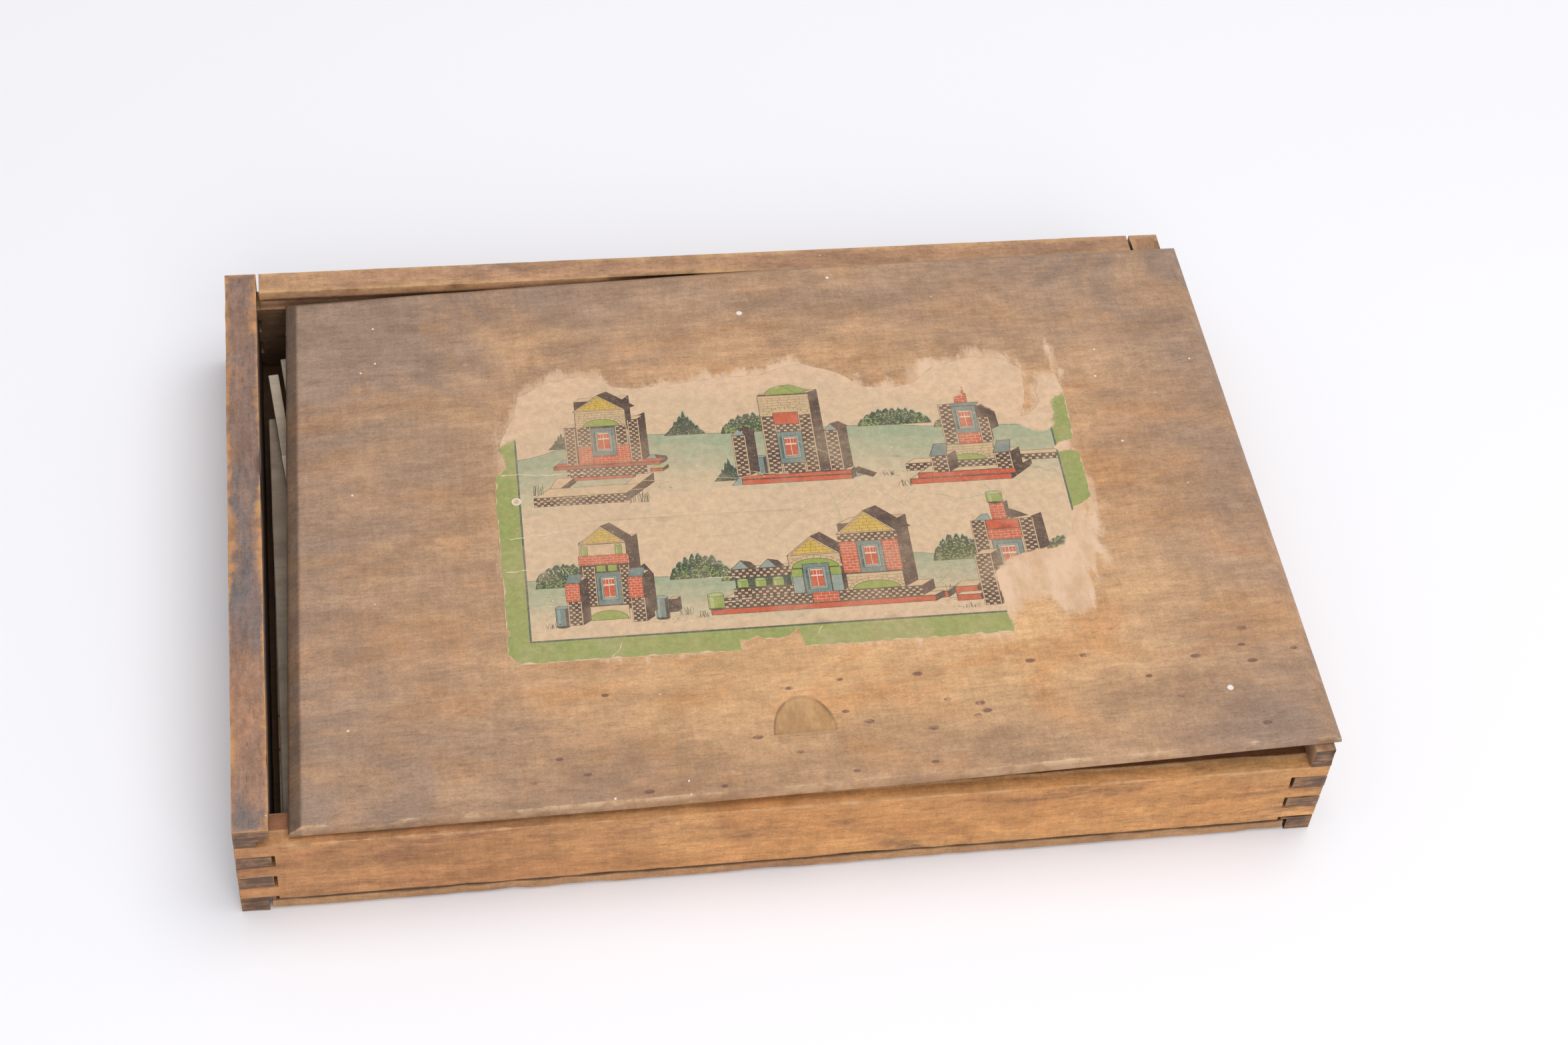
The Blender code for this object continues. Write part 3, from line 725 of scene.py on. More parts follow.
class Picture:
    """Flat shapes in painter's order, in millimetres. Later shapes cover earlier ones."""

    def __init__(self, seed=1):
        self.shapes = []
        self.random = random.Random(seed)

    def fill(self, ink, points):
        points = [tuple(point) for point in points]
        area = twice_area(points)
        if abs(area) > 0.004:
            self.shapes.append((ink, points if area > 0 else points[::-1]))

    def rect(self, ink, x, y, w, h):
        self.fill(ink, [(x, y), (x + w, y), (x + w, y + h), (x, y + h)])

    def drawn(self, ink, points, width=0.2, line="ink"):
        """A convex shape with an ink line round it."""
        self.fill(line, points)
        self.fill(ink, inset(points, width))

    def panel(self, ink, x, y, w, h, width=0.2, line="ink"):
        self.drawn(ink, [(x, y), (x + w, y), (x + w, y + h), (x, y + h)], width, line)

    def stroke(self, ink, points, width):
        for (ax, ay), (bx, by) in zip(points, points[1:]):
            along = Vector((bx - ax, by - ay))
            if along.length < 1e-4:
                continue
            side = Vector((-along.y, along.x)).normalized() * width / 2
            self.fill(ink, [(ax - side.x, ay - side.y), (bx - side.x, by - side.y),
                            (bx + side.x, by + side.y), (ax + side.x, ay + side.y)])

    def solid(self, ink, x, y, w, h, deep, top="cream", side="dark"):
        """A block's front with its top and right side running back."""
        dx, dy = deep
        right = x + w
        self.drawn(side, [(right, y), (right + dx, y + dy), (right + dx, y + h + dy), (right, y + h)], 0.15)
        self.drawn(top, [(x, y + h), (right, y + h), (right + dx, y + h + dy), (x + dx, y + h + dy)], 0.15)
        self.panel(ink, x, y, w, h)

    def add(self, draw, x, y, wide=1.0, high=1.0):
        """Another drawing placed at (x, y), stretched."""
        part = Picture(len(self.shapes))
        draw(part)
        for ink, points in part.shapes:
            self.fill(ink, [(x + px * wide, y + py * high) for px, py in points])

    def checker(self, x, y, w, h, cell=1.06, rim=True):
        self.rect("dark", x, y, w, h)
        if rim:
            self.rect("cream", x + 0.12, y + 0.1, 0.28, h - 0.2)
            self.rect("cream", x + w - 0.4, y + 0.1, 0.28, h - 0.2)
            x, w = x + 0.45, w - 0.9
        columns = max(2, round(w / cell))
        rows = max(2, round(h / cell))
        step_x, step_y = w / columns, h / rows
        for row in range(rows):
            for column in range(columns):
                if (row + column) % 2 == 0:
                    jitter = self.random.uniform(-0.06, 0.06)
                    self.rect("cream", x + (column + 0.08) * step_x + jitter, y + (row + 0.2) * step_y,
                              step_x * 0.86, step_y * 0.6)

    def checkered(self, x, y, w, h, deep, rim=True):
        """A block with a checkered front."""
        self.solid("dark", x, y, w, h, deep)
        self.checker(x, y, w, h, rim=rim)

    def bricks(self, x, y, w, h, size=(2.6, 1.15)):
        line = 0.16
        self.panel("mortar", x, y, w, h, 0.12)
        rows = max(1, round(h / size[1]))
        high = (h - 0.2) / rows
        for row in range(rows):
            start = x + 0.12 - (size[0] / 2 if row % 2 else 0)
            while start < x + w - 0.3:
                left, right = max(start, x + 0.12), min(start + size[0] - line, x + w - 0.12)
                if right - left > 0.3:
                    self.rect("red", left, y + 0.1 + row * high + line / 2, right - left, high - line)
                start += size[0]

    def window(self, x, y, w, h):
        self.panel("blue", x, y, w, h, 0.18)
        self.rect("line", x + w * 0.10, y + h * 0.16, w * 0.09, h * 0.68)
        self.panel("pale_blue", x + w * 0.17, y + h * 0.15, w * 0.68, h * 0.72, 0.14)
        self.panel("white", x + w * 0.25, y + h * 0.22, w * 0.50, h * 0.60, 0.16)
        wide, high = w * 0.215, h * 0.33
        for column in range(2):
            left = x + w * 0.275 + column * (wide + w * 0.022)
            self.panel("red", left, y + h * 0.25, wide, high, 0.09, "deep_red")
            for small in range(2):
                self.rect("red", left + small * wide * 0.52, y + h * 0.625, wide * 0.46, h * 0.15)

    def half_round(self, ink, x, y, w, h, width=0.18):
        arc = [(x + w / 2 - w / 2 * math.cos(math.pi * i / 14), y + h * math.sin(math.pi * i / 14))
               for i in range(15)]
        self.fill("ink", arc)
        self.fill(ink, inset(arc, width))

    def arch(self, x, y, w, h, rise=0.55, reach=0.72, infill="green"):
        """A stone block with courses, a ring of wedge stones and a filled half-round opening."""
        self.panel("stone", x, y, w, h)
        rows = max(3, round(h / 1.25))
        for row in range(1, rows):
            level = y + h * row / rows
            self.stroke("ink", [(x, level), (x + w, level)], 0.1)
            for joint in range(int(w / 3) + 1):
                at = x + 3 * joint + (1.5 if row % 2 else 0.4) + self.random.uniform(-0.3, 0.3)
                if x + 0.3 < at < x + w - 0.3:
                    self.stroke("ink", [(at, level - h / rows), (at, level)], 0.1)
        wide, high = w * reach, h * rise
        left = x + (w - wide) / 2
        self.half_round("stone", left - 1.1, y, wide + 2.2, high + 1.2, width=0.1)
        for i in range(1, 12):
            angle = math.pi * i / 12
            inner = (x + w / 2 - wide / 2 * math.cos(angle), y + high * math.sin(angle))
            outer = (x + w / 2 - (wide / 2 + 1.1) * math.cos(angle), y + (high + 1.2) * math.sin(angle))
            self.stroke("ink", [inner, outer], 0.12)
        if infill:
            self.half_round(infill, left, y + 0.1, wide, high)

    def gable(self, x, y, w, h, deep=(0, 0)):
        dx, dy = deep
        if dx:
            self.drawn("dark", [(x + w, y), (x + w + dx, y + dy), (x + w / 2 + dx, y + h + dy),
                                (x + w / 2, y + h)], 0.12)
            self.stroke("ink", [(x + w / 2, y + h), (x + w / 2 + dx, y + h + dy)], 0.25)
        self.drawn("cream", [(x, y), (x + w, y), (x + w / 2, y + h)], 0.2)
        face = inset([(x, y), (x + w, y), (x + w / 2, y + h)], 0.55)
        self.drawn("yellow", face, 0.15)
        (ax, ay), (bx, _), (_, top) = face
        rows = max(2, round((top - ay) / 1.2))
        for row in range(1, rows):
            share = row / rows
            level = ay + (top - ay) * share
            left, right = ax + (bx - ax) / 2 * share, bx - (bx - ax) / 2 * share
            self.stroke("ink", [(left, level), (right, level)], 0.1)
            start = left + self.random.uniform(0.6, 1.6)
            while start < right - 0.5:
                self.stroke("ink", [(start, level - (top - ay) / rows), (start, level)], 0.1)
                start += self.random.uniform(1.6, 2.6)

    def drum(self, ink, x, y, w, h, top="pale_green"):
        """A standing cylinder, shaded in bands."""
        def oval(level, high):
            return [(x + w / 2 + w / 2 * math.cos(math.tau * i / 18),
                     level + high * math.sin(math.tau * i / 18)) for i in range(18)]

        self.fill("ink", oval(y, w * 0.18))
        self.panel(ink, x, y, w, h, 0.15)
        self.rect("pale_blue" if ink == "blue" else "pale_green", x + w * 0.14, y + 0.1, w * 0.2, h - 0.2)
        self.rect("dark" if ink == "blue" else "leaf", x + w * 0.72, y + 0.1, w * 0.22, h - 0.2)
        self.fill("ink", oval(y + h, w * 0.17))
        self.fill(top, inset(oval(y + h, w * 0.17), 0.15))

    def bush(self, x, y, w, h, lumps=9, pointed=False):
        edge = []
        for i in range(lumps * 6 + 1):
            share = i / (lumps * 6)
            swell = math.sin(math.pi * share) ** 0.55
            if pointed:
                swell = (1 - abs(2 * share - 1) ** 0.9) * (0.84 + 0.16 * ((share * 7 + (share > 0.5)) % 1))
            bumps = 0.82 + 0.18 * abs(math.sin(math.pi * lumps * share)) + self.random.uniform(-0.09, 0.06)
            edge.append((x + w * share, y + h * max(0.04, swell * bumps)))
        self.fill("pale_leaf", [(px + 0.35, py + 0.3) for px, py in edge]
                  + [(x + w, y - 0.2), (x, y - 0.2)])
        self.fill("bush", edge + [(x + w, y - 0.2), (x, y - 0.2)])
        for _ in range(int(w * h * (0.6 if pointed else 1.3))):
            share = self.random.uniform(0.06, 0.94)
            low = self.random.random() ** 1.2
            swell = 1 - abs(2 * share - 1) ** 0.8 if pointed else math.sin(math.pi * share) ** 0.55
            roof = h * swell * 0.84
            px, py, size = x + w * share, y + roof * low, self.random.uniform(0.18, 0.42)
            size *= 0.6 if pointed else 1.0
            light = "leaf" if low < 0.7 and not pointed else self.random.choice(["leaf", "hill_1"])
            self.fill(light, [(px - size, py), (px, py - size * 0.7),
                              (px + size, py), (px, py + size * 0.8)])

    def grass(self, x, y, w, h, count=9):
        for _ in range(count):
            base = x + self.random.uniform(0, w)
            lean = self.random.uniform(-0.8, 0.8)
            self.stroke("bush", [(base, y), (base + lean, y + h * self.random.uniform(0.5, 1))], 0.14)

    def hatch(self, x, y, w, h, count=24, ink="bush"):
        """Short ground strokes scattered over a patch."""
        for _ in range(count):
            px, py = x + self.random.uniform(0, w), y + self.random.uniform(0, h)
            long = self.random.uniform(0.4, 1.5)
            self.stroke(ink, [(px, py), (px + long, py + self.random.uniform(-0.12, 0.12))], 0.1)

    def hill(self, x0, x1, tops, depth):
        """Rolling ground: a crest line through the given heights, fading downwards in bands."""
        count = 40
        crest = []
        for i in range(count + 1):
            share = i / count * (len(tops) - 1)
            k = min(int(share), len(tops) - 2)
            ease = (1 - math.cos(math.pi * (share - k))) / 2
            crest.append((x0 + (x1 - x0) * i / count, tops[k] + (tops[k + 1] - tops[k]) * ease))
        bands = ("hill_1", "hill_2", "hill_3", "hill_4", "hill_5", "paper")
        for band, ink in enumerate(bands):
            drop = depth * band / (len(bands) - 1)
            ragged = 0.0 if band == 0 else 0.9
            line = [(px, py - drop + self.random.uniform(-ragged, ragged)) for px, py in crest]
            foot = min(tops) - depth - 3
            self.fill(ink, line + [(x1, foot), (x0, foot)])
        self.stroke("bush", crest, 0.16)


def tower_house(pic):
    """A tall house on a red plank, with side pillars, a stone arch above its window and a porch."""
    pic.bush(-1.5, 10.5, 9, 9, pointed=True)
    pic.drawn("hill_3", [(-1, -9.6), (24, -9.6), (27, -4), (4, -4)], 0.1)
    pic.checker(-8, -17.8, 31, 4.4, rim=False)
    pic.drawn("cream", [(-8, -13.4), (23, -13.4), (28.4, -9), (-2.4, -9)], 0.15)
    pic.drawn("cream", [(-2.4, -9.2), (1.4, -9.2), (6.6, -4), (0.4, -4)], 0.15)
    pic.drawn("dark", [(1.4, -9.2), (4, -9.2), (6.8, -6.6), (6.6, -4)], 0.1)
    pic.drawn("cream", [(23, -9.2), (28.6, -9.2), (33, -4), (27.6, -4)], 0.15)
    pic.drawn("dark", [(23, -17.6), (33, -8.6), (33, -4), (23, -13.4)], 0.15)
    pic.solid("red", 32, -3.6, 4.4, 1.6, (2, 1.6), top="pale_green")
    pic.solid("red", 6, -6.0, 20, 1.6, (1, 0.5))
    pic.checker(4, -4.4, 27, 4.2, rim=False)
    pic.drawn("pale_blue", [(-0.5, 1.4), (36.5, 1.4), (35, 5), (3, 5)], 0.15)
    pic.drawn("dark", [(35.6, 0.2), (38.6, 2.4), (38, 4.2), (34, 5)], 0.15)
    pic.solid("deep_red", -0.5, -0.2, 36, 1.7, (2.4, 1.6), top="red")
    pic.drawn("dark", [(29, 1.6), (32.4, 4.4), (32.4, 27), (29, 25)], 0.15)
    pic.solid("dark", 26, 2, 3.4, 21.5, (2.4, 2.0))
    pic.solid("dark", 8.4, 18, 17, 16.2, (2.2, 2.0))
    pic.solid("dark", 4.2, 2, 3.6, 19, (1.8, 1.6))
    pic.checker(4.2, 2, 3.8, 18.8)
    pic.checker(26, 2, 3.9, 21.4)
    pic.checker(8.4, 11, 5, 10)
    pic.checker(21.6, 11, 4.2, 10)
    pic.bricks(8.4, 1.8, 5, 9)
    pic.bricks(21.2, 1.8, 4.8, 9)
    pic.bricks(13.4, 1.8, 8, 4)
    pic.window(13.2, 5.6, 8.4, 14.6)
    pic.arch(8.2, 20.8, 17.6, 8.4, rise=0.46)
    pic.gable(7.4, 29, 18.6, 8.2, (3.4, 1.6))
    pic.grass(-8, -12, 4, 6, 12)
    pic.grass(23, -18.4, 8, 6, 24)
    pic.hatch(30, -12, 9, 3, 14)


def gate_house(pic):
    """A high gate between two small pillars, on a red plank."""
    pic.bush(-8.5, 2, 10, 11, pointed=True)
    pic.drawn("pale_blue", [(-3.5, -0.4), (2, -0.4), (2, 4), (-0.5, 3.4)], 0.15)
    pic.drawn("pale_blue", [(34, -0.2), (40.5, 1.4), (37, 4), (32, 4)], 0.15)
    pic.drawn("dark", [(35, 3), (41.5, -0.2), (43, 1.6), (37.4, 5)], 0.15)
    pic.solid("red", 0, -0.4, 35, 2.2, (1.4, 1.2))
    pic.solid("red", 0, 1.9, 35, 1.8, (1.4, 1.2))
    pic.drum("blue", 5.2, 4, 3.6, 8, "pale_blue")
    pic.drum("blue", 25.6, 4, 3.4, 8.5, "pale_blue")
    for left in (-1.2, 28.6):
        pic.checkered(left, 3.8, 4.4, 18.2, (3.0, 1.6))
        shade = [(left + 2.2, 25.2), (left + 5.0, 26.2), (left + 8, 23.8), (left + 4.6, 22)]
        pic.drawn("dark", shade, 0.15)
        pic.drawn("pale_blue", [(left - 0.3, 22), (left + 4.6, 22), (left + 2.2, 25.2)], 0.2)
    pic.solid("dark", 9, 3.8, 16.4, 36.5, (3.2, 1.4))
    pic.checker(9, 3.8, 4.6, 27)
    pic.checker(21, 3.8, 4.4, 27)
    pic.checker(13.6, 3.8, 7.4, 4.4)
    pic.checker(13.6, 22.6, 7.4, 3.4, rim=False)
    pic.window(13.2, 8.2, 8.2, 14.4)
    pic.arch(8.8, 30, 16.8, 9.8, rise=0.3, reach=0.62, infill=None)
    pic.panel("red", 13, 26, 8.2, 5.6)
    pic.stroke("deep_red", [(17, 26.2), (17, 31.4)], 0.15)
    pic.half_round("green", 11.5, 40, 13, 4.4)
    pic.drawn("leaf", [(22, 40), (26.4, 41.4), (20, 44.6), (17, 44.3)], 0.15)
    pic.grass(43, 0, 5, 2.4, 12)
    pic.hatch(43, -0.5, 8, 3, 20)


def stepped_house(pic):
    """A narrow house on red steps, with a brick chimney."""
    pic.checkered(33, 8, 15, 2.6, (2.4, 1.8), rim=False)
    pic.checkered(-0.6, 6, 12, 3.2, (3, 2.2), rim=False)
    pic.solid("red", 0, 0, 31, 2.4, (6.5, 5.4))
    pic.solid("red", 2.6, 2.6, 30, 2.2, (5.4, 3.6))
    pic.checker(9, 6.4, 18, 3.0, rim=False)
    pic.drawn("dark", [(27, 22), (30.6, 24), (30.2, 36), (27.4, 34.6)], 0.15)
    pic.solid("dark", 13, 17, 13, 17, (2.2, 1.6))
    pic.checker(13, 17, 4.4, 18.4)
    pic.checker(24.4, 17, 3.6, 11.6)
    pic.bricks(17.4, 16.8, 7, 5)
    pic.window(17, 21.6, 7.6, 12.6)
    pic.drawn("blue", [(16.6, 34.2), (25, 34.2), (26, 35.8), (17.4, 35.8)], 0.15)
    pic.bricks(18.6, 35.8, 4, 4.4)
    pic.bricks(19.6, 40.2, 2.4, 3.2)
    pic.arch(10.6, 9.4, 17, 7.4, rise=0.4, reach=0.66)
    for left, wide in ((7.4, 5.2), (27, 5.2)):
        pic.checkered(left, 4.6, wide, 7.4, (3, 2))
        pic.drawn("blue", [(left - 0.3, 12), (left + wide, 12), (left + wide + 0.9, 17.6),
                           (left + 1.8, 17.6)], 0.2)
    pic.grass(-4, -0.5, 4.5, 3.4, 10)
    pic.hatch(38, 2.4, 6, 2, 12)


def window_house(pic):
    """A house with two lower wings and a gable, round drums beside it."""
    pic.bush(-11, 17, 16, 8, pointed=False)
    pic.drum("blue", -4.6, 0, 5, 8.2, "pale_blue")
    pic.drum("blue", 31.6, 1, 5, 9, "pale_blue")
    pic.solid("dark", 36.6, 3.2, 3, 5.6, (1.6, 1.2))
    pic.drawn("dark", [(26.5, 0.6), (32.4, 5), (32.4, 20.6), (29.4, 25.4),
                       (25, 22)], 0.15)
    pic.solid("dark", 6, 6, 17.4, 30.4, (4.6, 2.6))
    pic.panel("cream", 6, 30, 17.4, 5.4)
    pic.drum("green", 6.6, 30.4, 2.6, 4.2)
    pic.drum("green", 19.2, 30.4, 2.6, 4.2)
    pic.bricks(5.4, 26, 18.6, 4.4)
    pic.stroke("deep_red", [(14.4, 26.2), (14.4, 30.2)], 0.2)
    pic.gable(5.6, 35.4, 18.2, 8, (3.6, 1.4))
    pic.checker(6.4, 8, 4.8, 17.4)
    pic.checker(20, 8, 3.8, 17.4)
    pic.panel("dark", 11.2, 22.6, 9, 3.4)
    for left in (11.6, 15.8):
        pic.panel("green", left, 22.8, 3.6, 3, 0.15)
    pic.window(11.2, 8, 9, 14.6)
    pic.panel("cream", 6.6, 1.6, 15.6, 6.2, 0.15)
    pic.half_round("green", 7.4, 1.6, 14.4, 4.2)
    for left, top in ((0, 0), (23, 1.4)):
        pic.solid("dark", left, 0, 5.2, 19 + top, (3, 2))
        pic.checker(left, 0, 5.2, 10.4)
        pic.bricks(left - 0.4, 10.4, 5.4, 8 + top, size=(2.2, 1.15))
        pic.drawn("blue", [(left - 0.4, 18.4 + top), (left + 5.4, 18.4 + top),
                           (left + 6.4, 22.4 + top), (left + 1.2, 22.4 + top)], 0.2)
    pic.grass(-8.4, -0.8, 5, 2.6, 12)
    pic.grass(40, 1.6, 6, 3.6, 14)
    pic.hatch(24, -1.2, 22, 2, 26)


def long_house(pic):
    """A long low group: a garden wall with drums, a small house and a bigger one, on one red plank."""
    pic.solid("red", 64, 1, 8, 2.4, (2.6, 1.8))
    pic.solid("red", 0, 0, 68, 2.2, (3, 1.6))
    pic.drum("green", -0.6, 2.6, 5, 5.2)
    pic.checkered(4.4, 2.4, 60, 3.8, (4, 2.4), rim=False)
    pic.checkered(7.6, 6.2, 18, 3.2, (2, 1.2), rim=False)
    pic.rect("bush", 8.4, 9.6, 17, 4)
    for i in range(3):
        pic.drum("green", 8.8 + 5.4 * i, 9.8, 3.6, 3.0)
    pic.checkered(6.6, 13.6, 19, 3.4, (2, 1.2), rim=False)
    for i in range(2):
        left = 7.4 + 8.4 * i
        shade = [(left + 3.4, 20.6), (left + 6.4, 19.8), (left + 8.2, 17.4), (left + 6, 17)]
        pic.drawn("dark", shade, 0.1)
        pic.drawn("pale_blue", [(left, 17), (left + 6, 17), (left + 3.4, 20.6)], 0.2)
    pic.solid("dark", 25.6, 6.2, 15, 13.8, (3, 1.8))
    pic.panel("pale_blue", 25.6, 6.2, 15.4, 7.8)
    pic.panel("green", 25.6, 12.6, 3.8, 3.2, 0.15)
    pic.panel("green", 37.2, 12.6, 3.8, 3.2, 0.15)
    pic.window(29, 6.2, 8.6, 12.2)
    pic.arch(25.2, 15.8, 16.2, 5.4, rise=0.7, reach=0.9)
    pic.window(29.2, 5.6, 8.2, 12.0)
    pic.gable(24.8, 21, 16.8, 7.4, (3.2, 1.4))
    pic.bricks(31, 2.4, 8, 3.9)
    pic.solid("dark", 42, 6.2, 17.4, 26.4, (4.4, 2.4))
    pic.arch(42, 6.2, 17.6, 6.4, rise=0.52, reach=0.84)
    pic.bricks(41.6, 13, 5.4, 12.4, size=(2.2, 1.15))
    pic.bricks(54.4, 13, 5.4, 12.4, size=(2.2, 1.15))
    pic.window(46.8, 12.6, 8, 12.8)
    pic.checker(41.4, 25.2, 18.6, 3.2, rim=False)
    pic.gable(41, 28.4, 19.4, 9, (4.4, 1.8))
    pic.grass(71, 2.6, 5, 3.8, 13)
    pic.grass(-4.6, -0.6, 4, 3, 10)
    pic.hatch(66, -0.6, 10, 1.6, 14)


def chimney_house(pic):
    """A house at the torn edge: pillars, a brick chimney and a drum on top."""
    pic.solid("red", -8, 5, 7, 3.6, (2.2, 2.4))
    pic.solid("red", -8, 2.6, 7.6, 2.4, (1.6, 1.4))
    pic.drawn("dark", [(20.5, 22), (24.4, 24), (24, 39), (20.5, 37.6)], 0.15)
    pic.drawn("pale_blue", [(2, 36.6), (8, 36.6), (7, 40), (5, 39.6)], 0.15)
    pic.drawn("dark", [(12, 40.4), (14.6, 41.6), (20, 38), (14, 37)], 0.15)
    pic.checker(1, 20, 4.8, 17)
    pic.checker(16.4, 20, 4.6, 17)
    pic.panel("red", 5.8, 32.6, 10.6, 4.4)
    pic.stroke("deep_red", [(11, 32.8), (11, 36.8)], 0.2)
    pic.bricks(5.8, 28, 10.6, 4.6)
    pic.window(6.4, 12.6, 9.6, 15.4)
    pic.solid("red", 8.2, 37, 4.6, 7.4, (1.4, 0.8))
    pic.bricks(8.2, 37, 4.8, 7.4)
    pic.drum("green", 7.8, 45, 5.2, 4.2)
    pic.bricks(6, 0.6, 12, 9)
    pic.checkered(0, 0, 5.4, 22, (3, 2))
    pic.grass(-6, -0.5, 5, 2.4, 10)
    pic.hatch(-10, -1.2, 10, 2, 10)


def rolling_ground(pic):
    """Hills, bushes and trees behind the two rows of houses."""
    pic.hill(7, 181, [83.6, 88, 91.5, 90.5, 89.4, 90.4, 90, 88, 87, 86], 24)
    pic.bush(54.5, 90.5, 13, 11.5, pointed=True)
    pic.bush(72.5, 90, 20, 8.2, lumps=8)
    pic.bush(116.6, 89.8, 24, 7.4, lumps=11)
    pic.bush(141, 87.6, 16, 6.0, lumps=7)
    pic.hatch(56, 77, 20, 8, 30, "hill_1")
    pic.hatch(118, 74, 26, 12, 44, "hill_1")
    pic.hatch(165, 78, 12, 6, 16, "hill_1")
    pic.hill(7, 181, [33.8, 35.5, 32.5, 31, 30.5, 35.4, 36, 33.4, 33, 34], 17)
    pic.bush(10, 33.5, 18, 6.5, lumps=7)
    pic.bush(50.5, 31.2, 19, 9.6, lumps=9)
    pic.bush(66, 29.4, 12, 3.6, lumps=5)
    pic.bush(132, 32, 17, 10.4, lumps=7)
    pic.bush(168, 34, 10, 5.0, lumps=6)
    pic.hatch(130, 22, 18, 8, 50)
    pic.hatch(10, 18, 8, 10, 16)


LABEL_TURN = math.radians(-1.15)
SHEET_THICKNESS = 0.13 * MM

# The label's outlines in millimetres from its lower left corner, anticlockwise.
SHEET_OUTLINE = [
    (3.2, 2.5), (4.2, 2.0), (20, 1.9), (40, 1.5), (54, 1.2), (69.6, 0.7), (69.2, 2.6), (69.3, 4.8),
    (71.5, 4.3), (74.6, 5.5), (77.5, 4.4), (81.2, 4.0), (84.6, 5.2), (87.0, 7.2), (87.5, 4.0), (88.2, 0.4),
    (100, 0.1), (125, -0.3), (140, -0.6), (152.0, -0.9), (152.7, 2.2), (151.4, 5.8), (151.5, 14),
    (150.7, 20), (151.4, 23.6), (154.6, 25.2), (158.4, 27.6), (162.4, 29.6), (166.4, 30.6), (170.4, 30.4),
    (174.6, 31.4), (175.8, 34.8), (178.4, 36.6), (178.4, 42), (180.8, 46.6), (184, 47.6), (187.2, 50.3),
    (187.3, 60), (187.5, 69.6), (184.6, 71.0), (181.2, 70.5), (179.6, 72.2), (182, 74.6), (186.7, 75.1),
    (187.4, 80), (187.8, 92), (188.0, 98), (186.6, 105.3), (183.4, 104.4), (181.0, 104.9), (180.2, 100),
    (178.6, 98.2), (179.4, 93), (174.8, 87.6), (171.6, 86.8), (174.4, 94), (175.4, 99.4), (176.2, 108),
    (171, 113.4), (160, 114.8), (146, 111), (140, 105), (130, 103.4), (122, 105), (116, 111.6),
    (104, 117.0), (98, 116), (90, 113), (76, 113.2), (62, 111.6), (48, 111.0), (42, 112.2), (38.6, 116.4),
    (30, 118), (20, 116), (11.0, 111.0), (9.6, 103.4), (6.6, 97.4), (4.3, 92.2), (3.4, 88.2), (5.3, 84.2),
    (5.1, 80.2), (1.9, 77.9), (1.2, 70), (0.9, 52.6), (0.7, 30), (0.3, 16), (1.4, 14.6), (0.2, 12.6),
    (0.1, 6.2), (1.2, 4.6), (2.2, 3.8),
]
PRINT_OUTLINE = [
    (-6, -6), (152, -6), (151.6, 14), (151.2, 23), (158, 27.4), (166, 30), (174, 30.8), (178, 36),
    (181, 45), (194, 46), (194, 99), (181.5, 93), (180.8, 80.6), (178, 79.6), (171, 84.4), (165, 90),
    (160.4, 92), (157.2, 98), (155.6, 103), (152.6, 97.4), (147, 97.4), (140, 100), (120, 105),
    (104.8, 107.6), (97.8, 108.2), (90.8, 106), (76, 104), (66, 106), (56, 112), (50, 114),
    (44, 116), (38, 114.5), (33.5, 110.5), (28, 108.5), (20, 99), (9.2, 91.4), (2.8, 90), (-6, 89),
]
RESIDUE_OUTLINE = [
    (152, -1.2), (154.2, 5.4), (158.2, 10.4), (162.2, 12.4), (166.2, 8.4), (170.2, 4.4), (174.2, 2.9),
    (179.2, 5.4), (180.4, 15.4), (179.7, 20.4), (182.2, 22.4), (182.7, 26.4), (184.7, 27.9), (186.2, 22.4),
    (186.9, 35.4), (187.3, 50.4), (187.2, 96), (188.2, 104), (188.4, 117), (186, 119), (184.4, 116),
    (186.8, 107), (180.4, 105), (178.4, 98.6), (178.8, 92.6), (173.4, 86.2), (170.6, 87.6), (172.6, 92.4),
    (175.4, 100), (176.4, 109), (173, 115.4), (170, 116.8), (166, 117.6), (159, 119.4), (156, 116),
    (144, 116), (138, 111.4), (136, 103), (131, 108.4), (128, 107), (125, 102.6), (122, 111), (119, 108.6),
    (117, 105.6), (112, 111.4), (104, 117.6), (101.6, 121), (98, 120.6), (90, 116), (74, 116), (62, 114),
    (46, 111.4), (42.6, 112.4), (41, 116), (38.2, 119.6), (34, 120.2), (30.2, 121.4), (26, 121.4),
    (22.2, 120.4), (18, 118.4), (14.2, 116), (10.2, 112.4), (9.2, 108), (7, 103), (4.2, 97), (2.6, 91),
    (2.6, 84), (2.8, 79), (2, 77), (1.2, 60), (0.8, 30), (0.6, 6), (3, 2.6), (40, 1.6), (69, 0.9),
    (69.6, 5.4), (87, 8), (88.4, 0.5),
]


